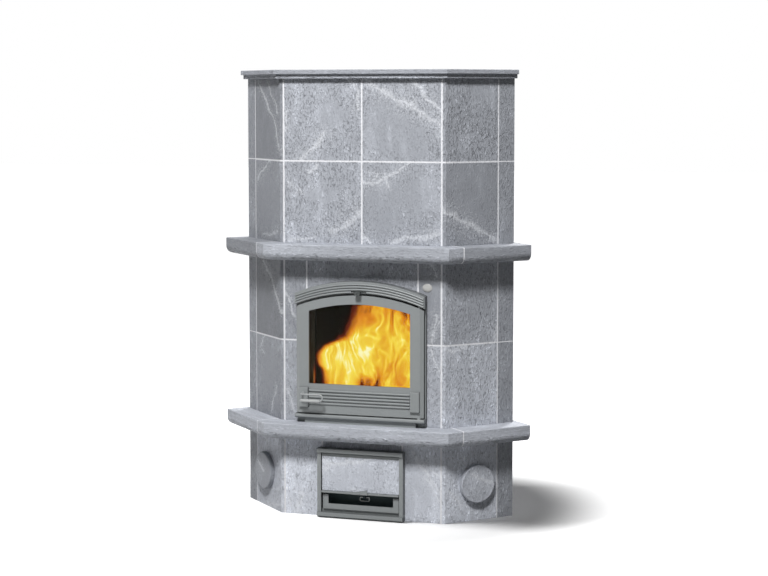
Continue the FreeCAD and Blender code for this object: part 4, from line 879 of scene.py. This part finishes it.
def finish_piece(context, name, shape, material, smooth=False):
    """Turn a bmesh into a piece with its finish."""
    bmesh.ops.remove_doubles(shape, verts=shape.verts, dist=0.00001)
    bmesh.ops.recalc_face_normals(shape, faces=shape.faces)
    for face in shape.faces:
        face.smooth = smooth
    mesh = bpy.data.meshes.new(name)
    shape.to_mesh(mesh)
    shape.free()
    mesh.materials.append(material)
    piece = bpy.data.objects.new(name, mesh)
    context.scene.collection.objects.link(piece)
    return piece


class HEATER_OT_fire(bpy.types.Operator):
    """Lay the logs and the embers, and light the fire"""
    bl_idname = "heater.fire"
    bl_label = "Fire"

    def execute(self, context):
        settings = context.scene.heater_fire
        make_flame()
        wood = log_material(settings)
        for index, (first, second, thickness) in enumerate(LOGS):
            shape = split_log(Vector(first), Vector(second), thickness, 5.3 * index)
            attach(finish_piece(context, f"log_{index + 1}", shape, wood), "heater")
        bed = finish_piece(context, "ember_bed", ember_bed(), ember_material(settings))
        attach(bed, "heater")
        for name, depth, seed, edge in SHEETS:
            finish = flame_material(name, depth, seed, edge, settings)
            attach(finish_piece(context, name, flame_sheet(depth, seed), finish), "heater")
        return {"FINISHED"}


def split_log(first, second, thickness, seed):
    """A charred split log with a ragged bark side and a flatter split side."""
    shape = bmesh.new()
    length = (second - first).length
    bmesh.ops.create_cone(
        shape, cap_ends=True, segments=14, radius1=thickness, radius2=thickness * 0.88, depth=length)
    along = [edge for edge in shape.edges if abs(edge.verts[0].co.z - edge.verts[1].co.z) > length / 2]
    bmesh.ops.subdivide_edges(shape, edges=along, cuts=18, use_grid_fill=True)
    caps = [face for face in shape.faces if len(face.verts) > 4]
    bmesh.ops.inset_individual(shape, faces=caps, thickness=thickness * 0.2, depth=-0.002)
    for vertex in shape.verts:
        place = vertex.co.copy()
        split = 1.0 if place.y < 0.25 * thickness else 0.62
        rough = noise.noise((place * 28) + Vector((seed, 0, 0))) * 0.16 + noise.noise(place * 90) * 0.07
        vertex.co.x = place.x * (1 + rough)
        vertex.co.y = place.y * split * (1 + rough)
        vertex.co.z = place.z + noise.noise(place * 60 + Vector((0, seed, 0))) * 0.004
    turn = (second - first).to_track_quat("Z", "Y").to_matrix().to_4x4()
    bmesh.ops.transform(shape, matrix=Matrix.Translation((first + second) / 2) @ turn, verts=shape.verts)
    return shape


def ember_bed():
    """A low heap of ash and embers on the grate."""
    shape = bmesh.new()
    bmesh.ops.create_grid(shape, x_segments=60, y_segments=40, size=0.5)
    for vertex in shape.verts:
        across, back = vertex.co.x * 2, vertex.co.y * 2
        heap = BED_HEAP * max(0.0, 1 - across ** 2) * max(0.0, 1 - back ** 2)
        coarse = noise.noise(Vector((across * 9, back * 7, 1.3)))
        fine = noise.noise(Vector((across * 22, back * 17, 4)))
        lumps = BED_LUMPS * (coarse + 0.6 * fine) * (1 - max(abs(across), abs(back)) ** 4)
        top = BED_TOP + heap + max(lumps, -heap * 0.6)
        vertex.co = Vector((across * BED_HALF[0], back * BED_HALF[1] + BED_MIDDLE, top))
    rim = [edge for edge in shape.edges if edge.is_boundary]
    walls = bmesh.ops.extrude_edge_only(shape, edges=rim)["geom"]
    for vertex in (part for part in walls if isinstance(part, bmesh.types.BMVert)):
        vertex.co.z = BED_UNDER
    bmesh.ops.holes_fill(shape, edges=[edge for edge in shape.edges if edge.is_boundary], sides=0)
    return shape


def flame_sheet(depth, seed):
    """A thin wavy sheet for the flames."""
    shape = bmesh.new()
    bmesh.ops.create_grid(shape, x_segments=48, y_segments=48, size=0.5)
    for vertex in shape.verts:
        across, up = vertex.co.x * 2, vertex.co.y + 0.5
        wave = SHEET_WAVE * noise.noise(Vector((across * 2.2, up * 2.5, seed)))
        top = SHEET_CROWN - (across * SHEET_HALF) ** 2 / (2 * SHEET_ARCH)
        vertex.co = Vector((across * SHEET_HALF, depth + wave, SHEET_FOOT + up * (top - SHEET_FOOT)))
    bmesh.ops.recalc_face_normals(shape, faces=shape.faces)
    bmesh.ops.solidify(shape, geom=shape.faces[:], thickness=SHEET_THICK)
    return shape


def flame_material(name, depth, seed, edge, settings):
    material, tree, shader = new_material(name)
    place = add_node(tree, "ShaderNodeSeparateXYZ", {0: place_on(tree)}).outputs
    shares = []
    for axis, label in ((0, "X"), (2, "Z")):
        ends = []
        for corner in WINDOW:
            beyond = (depth - SIGHT.y) / (corner.y - SIGHT.y)
            ends.append(SIGHT[axis] + (corner[axis] - SIGHT[axis]) * beyond)
        values = {"Value": place[label], "From Min": ends[0], "From Max": ends[1]}
        shares.append(add_node(tree, "ShaderNodeMapRange", values, clamp=False).outputs["Result"])
    across, up = shares
    curve = add_node(tree, "ShaderNodeFloatCurve", {"Value": up})
    points = curve.mapping.curves[0].points
    points[0].location, points[1].location = edge[0], edge[-1]
    for point in edge[1:-1]:
        points.new(*point)
    curve.mapping.update()
    values = {"Across": across, "Up": up, "Edge": curve.outputs[0], "Seed": seed}
    heat = use_group(tree, "Flame", values)["Heat"]
    ramp = add_node(tree, "ShaderNodeValToRGB", {"Fac": heat})
    stops = ramp.color_ramp.elements
    stops[0].position, stops[1].position = HEATS[0][1], HEATS[-1][1]
    for _, position in HEATS[1:-1]:
        stops.new(position)
    for stop, (color, _) in zip(stops, HEATS):
        stop.color = opaque(getattr(settings, color))
    tree.links.new(ramp.outputs["Color"], shader.inputs["Emission Color"])
    shader.inputs["Emission Strength"].default_value = 1.0
    shader.inputs["Base Color"].default_value = BLACK
    shader.inputs["Roughness"].default_value = 1.0
    shader.inputs["Specular IOR Level"].default_value = 0.0
    tree.links.new(span(tree, heat, 0.03, 0.24), shader.inputs["Alpha"])
    return material


def log_material(settings):
    material, tree, shader = new_material("charred_wood")
    place = place_on(tree)
    bark = grain(tree, vectors(tree, "MULTIPLY", place, (0.35, 1, 1)), 90, 4, 0.65, 0.4)
    cracks = span(tree, add_node(tree, "ShaderNodeTexVoronoi", {"Vector": place, "Scale": 55.0},
                                 feature="DISTANCE_TO_EDGE").outputs["Distance"], 0.12, 0.0)
    glow = maths(tree, "MULTIPLY", cracks, span(tree, grain(tree, place, 16, 2), 0.48, 0.62))
    color = mix(tree, span(tree, bark, 0.35, 0.65), opaque(CHAR_COLOR), opaque(settings.bark))
    tree.links.new(color, shader.inputs["Base Color"])
    shader.inputs["Roughness"].default_value = 0.95
    tree.links.new(mix(tree, glow, BLACK, opaque(settings.flame)), shader.inputs["Emission Color"])
    shader.inputs["Emission Strength"].default_value = 0.8
    bump(tree, shader, bark, 0.8, 0.004)
    return material


def ember_material(settings):
    material, tree, shader = new_material("embers")
    place = place_on(tree)
    lumps = grain(tree, place, 70, 4, 0.6)
    ash = mix(tree, span(tree, lumps, 0.35, 0.65), opaque(settings.bark), opaque(ASH_COLOR))
    tree.links.new(ash, shader.inputs["Base Color"])
    shader.inputs["Roughness"].default_value = 1.0
    hot = span(tree, grain(tree, place, 34, 3, 0.6), 0.48, 0.66)
    tree.links.new(mix(tree, hot, BLACK, opaque(settings.flame)), shader.inputs["Emission Color"])
    shader.inputs["Emission Strength"].default_value = 0.9
    bump(tree, shader, lumps, 0.8, 0.004)
    return material


class HEATER_OT_stage(bpy.types.Operator):
    """Set the floor, the lights and the camera"""
    bl_idname = "heater.stage"
    bl_label = "Stage"

    def execute(self, context):
        settings = context.scene.heater_stage
        make_floor(context, settings)
        make_lights(context, settings)
        make_camera(context, settings)
        context.scene.view_settings.view_transform = "Standard"
        return {"FINISHED"}


def seen_rays(tree):
    """Rays that show a thing, and not those that carry its light elsewhere."""
    rays = add_node(tree, "ShaderNodeLightPath").outputs
    seen = maths(tree, "MAXIMUM", rays["Is Camera Ray"], rays["Is Glossy Ray"])
    return maths(tree, "MAXIMUM", seen, rays["Is Transmission Ray"])


def make_floor(context, settings):
    shape = bmesh.new()
    bmesh.ops.create_grid(shape, x_segments=1, y_segments=1, size=FLOOR_HALF)
    mesh = bpy.data.meshes.new("floor")
    shape.to_mesh(mesh)
    shape.free()
    floor = bpy.data.objects.new("floor", mesh)
    context.scene.collection.objects.link(floor)
    material, tree, shader = new_material("floor")
    shader.inputs["Roughness"].default_value = 0.9
    shader.inputs["Emission Color"].default_value = WHITE
    seen = seen_rays(tree)
    bounce = tuple(FLOOR_BOUNCE * part for part in settings.floor)
    tree.links.new(mix(tree, seen, opaque(bounce), opaque(settings.floor)), shader.inputs["Base Color"])
    far = span(tree, vectors(tree, "LENGTH", place_on(tree)), *SHADOW_REACH, FLOOR_GLOW, 1.0)
    tree.links.new(maths(tree, "MULTIPLY", seen, far), shader.inputs["Emission Strength"])
    mesh.materials.append(material)


def add_area(context, name, power, size, place, target):
    light = bpy.data.lights.new(name, "AREA")
    light.energy = power
    light.shape = "RECTANGLE"
    light.size, light.size_y = size
    lamp = bpy.data.objects.new(name, light)
    context.scene.collection.objects.link(lamp)
    lamp.location = place
    lamp.rotation_euler = (Vector(target) - Vector(place)).to_track_quat("-Z", "Y").to_euler()
    return lamp


def make_lights(context, settings):
    floor = context.scene.objects["floor"]
    for name, (size, place, target, state) in LIGHTS.items():
        lamp = add_area(context, name, getattr(settings, name), size, place, target)
        receivers = bpy.data.collections.new(f"lit_by_{name}")
        receivers.objects.link(floor)
        receivers.collection_objects[0].light_linking.link_state = state
        lamp.light_linking.receiver_collection = receivers
    world = bpy.data.worlds.new("room")
    context.scene.world = world
    world.use_nodes = True
    tree = world.node_tree
    ground = tree.nodes["Background"]
    ground.inputs["Color"].default_value = WHITE
    seen = seen_rays(tree)
    strength = maths(tree, "MULTIPLY_ADD", seen, 1.0 - settings.sky, settings.sky)
    tree.links.new(strength, ground.inputs["Strength"])


def make_camera(context, settings):
    camera = bpy.data.cameras.new("camera")
    camera.lens = settings.lens
    camera.sensor_width = 36
    camera.shift_y = CAMERA_SHIFT
    eye = bpy.data.objects.new("camera", camera)
    context.scene.collection.objects.link(eye)
    eye.location = SIGHT
    eye.rotation_euler = (math.radians(90 - CAMERA_TILT), 0, math.radians(CAMERA_TURN))
    context.scene.camera = eye


class HEATER_PT_panel(bpy.types.Panel):
    bl_idname = "HEATER_PT_panel"
    bl_label = "Corner masonry heater"
    bl_space_type = "VIEW_3D"
    bl_region_type = "UI"
    bl_category = "Heater"

    def draw(self, context):
        for operator in OPERATORS:
            self.layout.operator(operator.bl_idname)


OPERATORS = (
    HEATER_OT_stones,
    HEATER_OT_core,
    HEATER_OT_castings,
    HEATER_OT_rope,
    HEATER_OT_fire,
    HEATER_OT_stage,
)
SETTINGS = {
    "heater_stone": HeaterStone,
    "heater_metal": HeaterMetal,
    "heater_fire": HeaterFire,
    "heater_stage": HeaterStage,
}


def register():
    for kind in (*SETTINGS.values(), *OPERATORS, HEATER_PT_panel):
        bpy.utils.register_class(kind)
    for name, kind in SETTINGS.items():
        setattr(bpy.types.Scene, name, PointerProperty(type=kind))


def unregister():
    for name in SETTINGS:
        delattr(bpy.types.Scene, name)
    for kind in reversed((*SETTINGS.values(), *OPERATORS, HEATER_PT_panel)):
        bpy.utils.unregister_class(kind)


def main():
    register()
    bpy.ops.heater.stones()
    bpy.ops.heater.core()
    bpy.ops.heater.castings()
    bpy.ops.heater.rope()
    bpy.ops.heater.fire()
    bpy.ops.heater.stage()


if __name__ == "__main__":
    main()
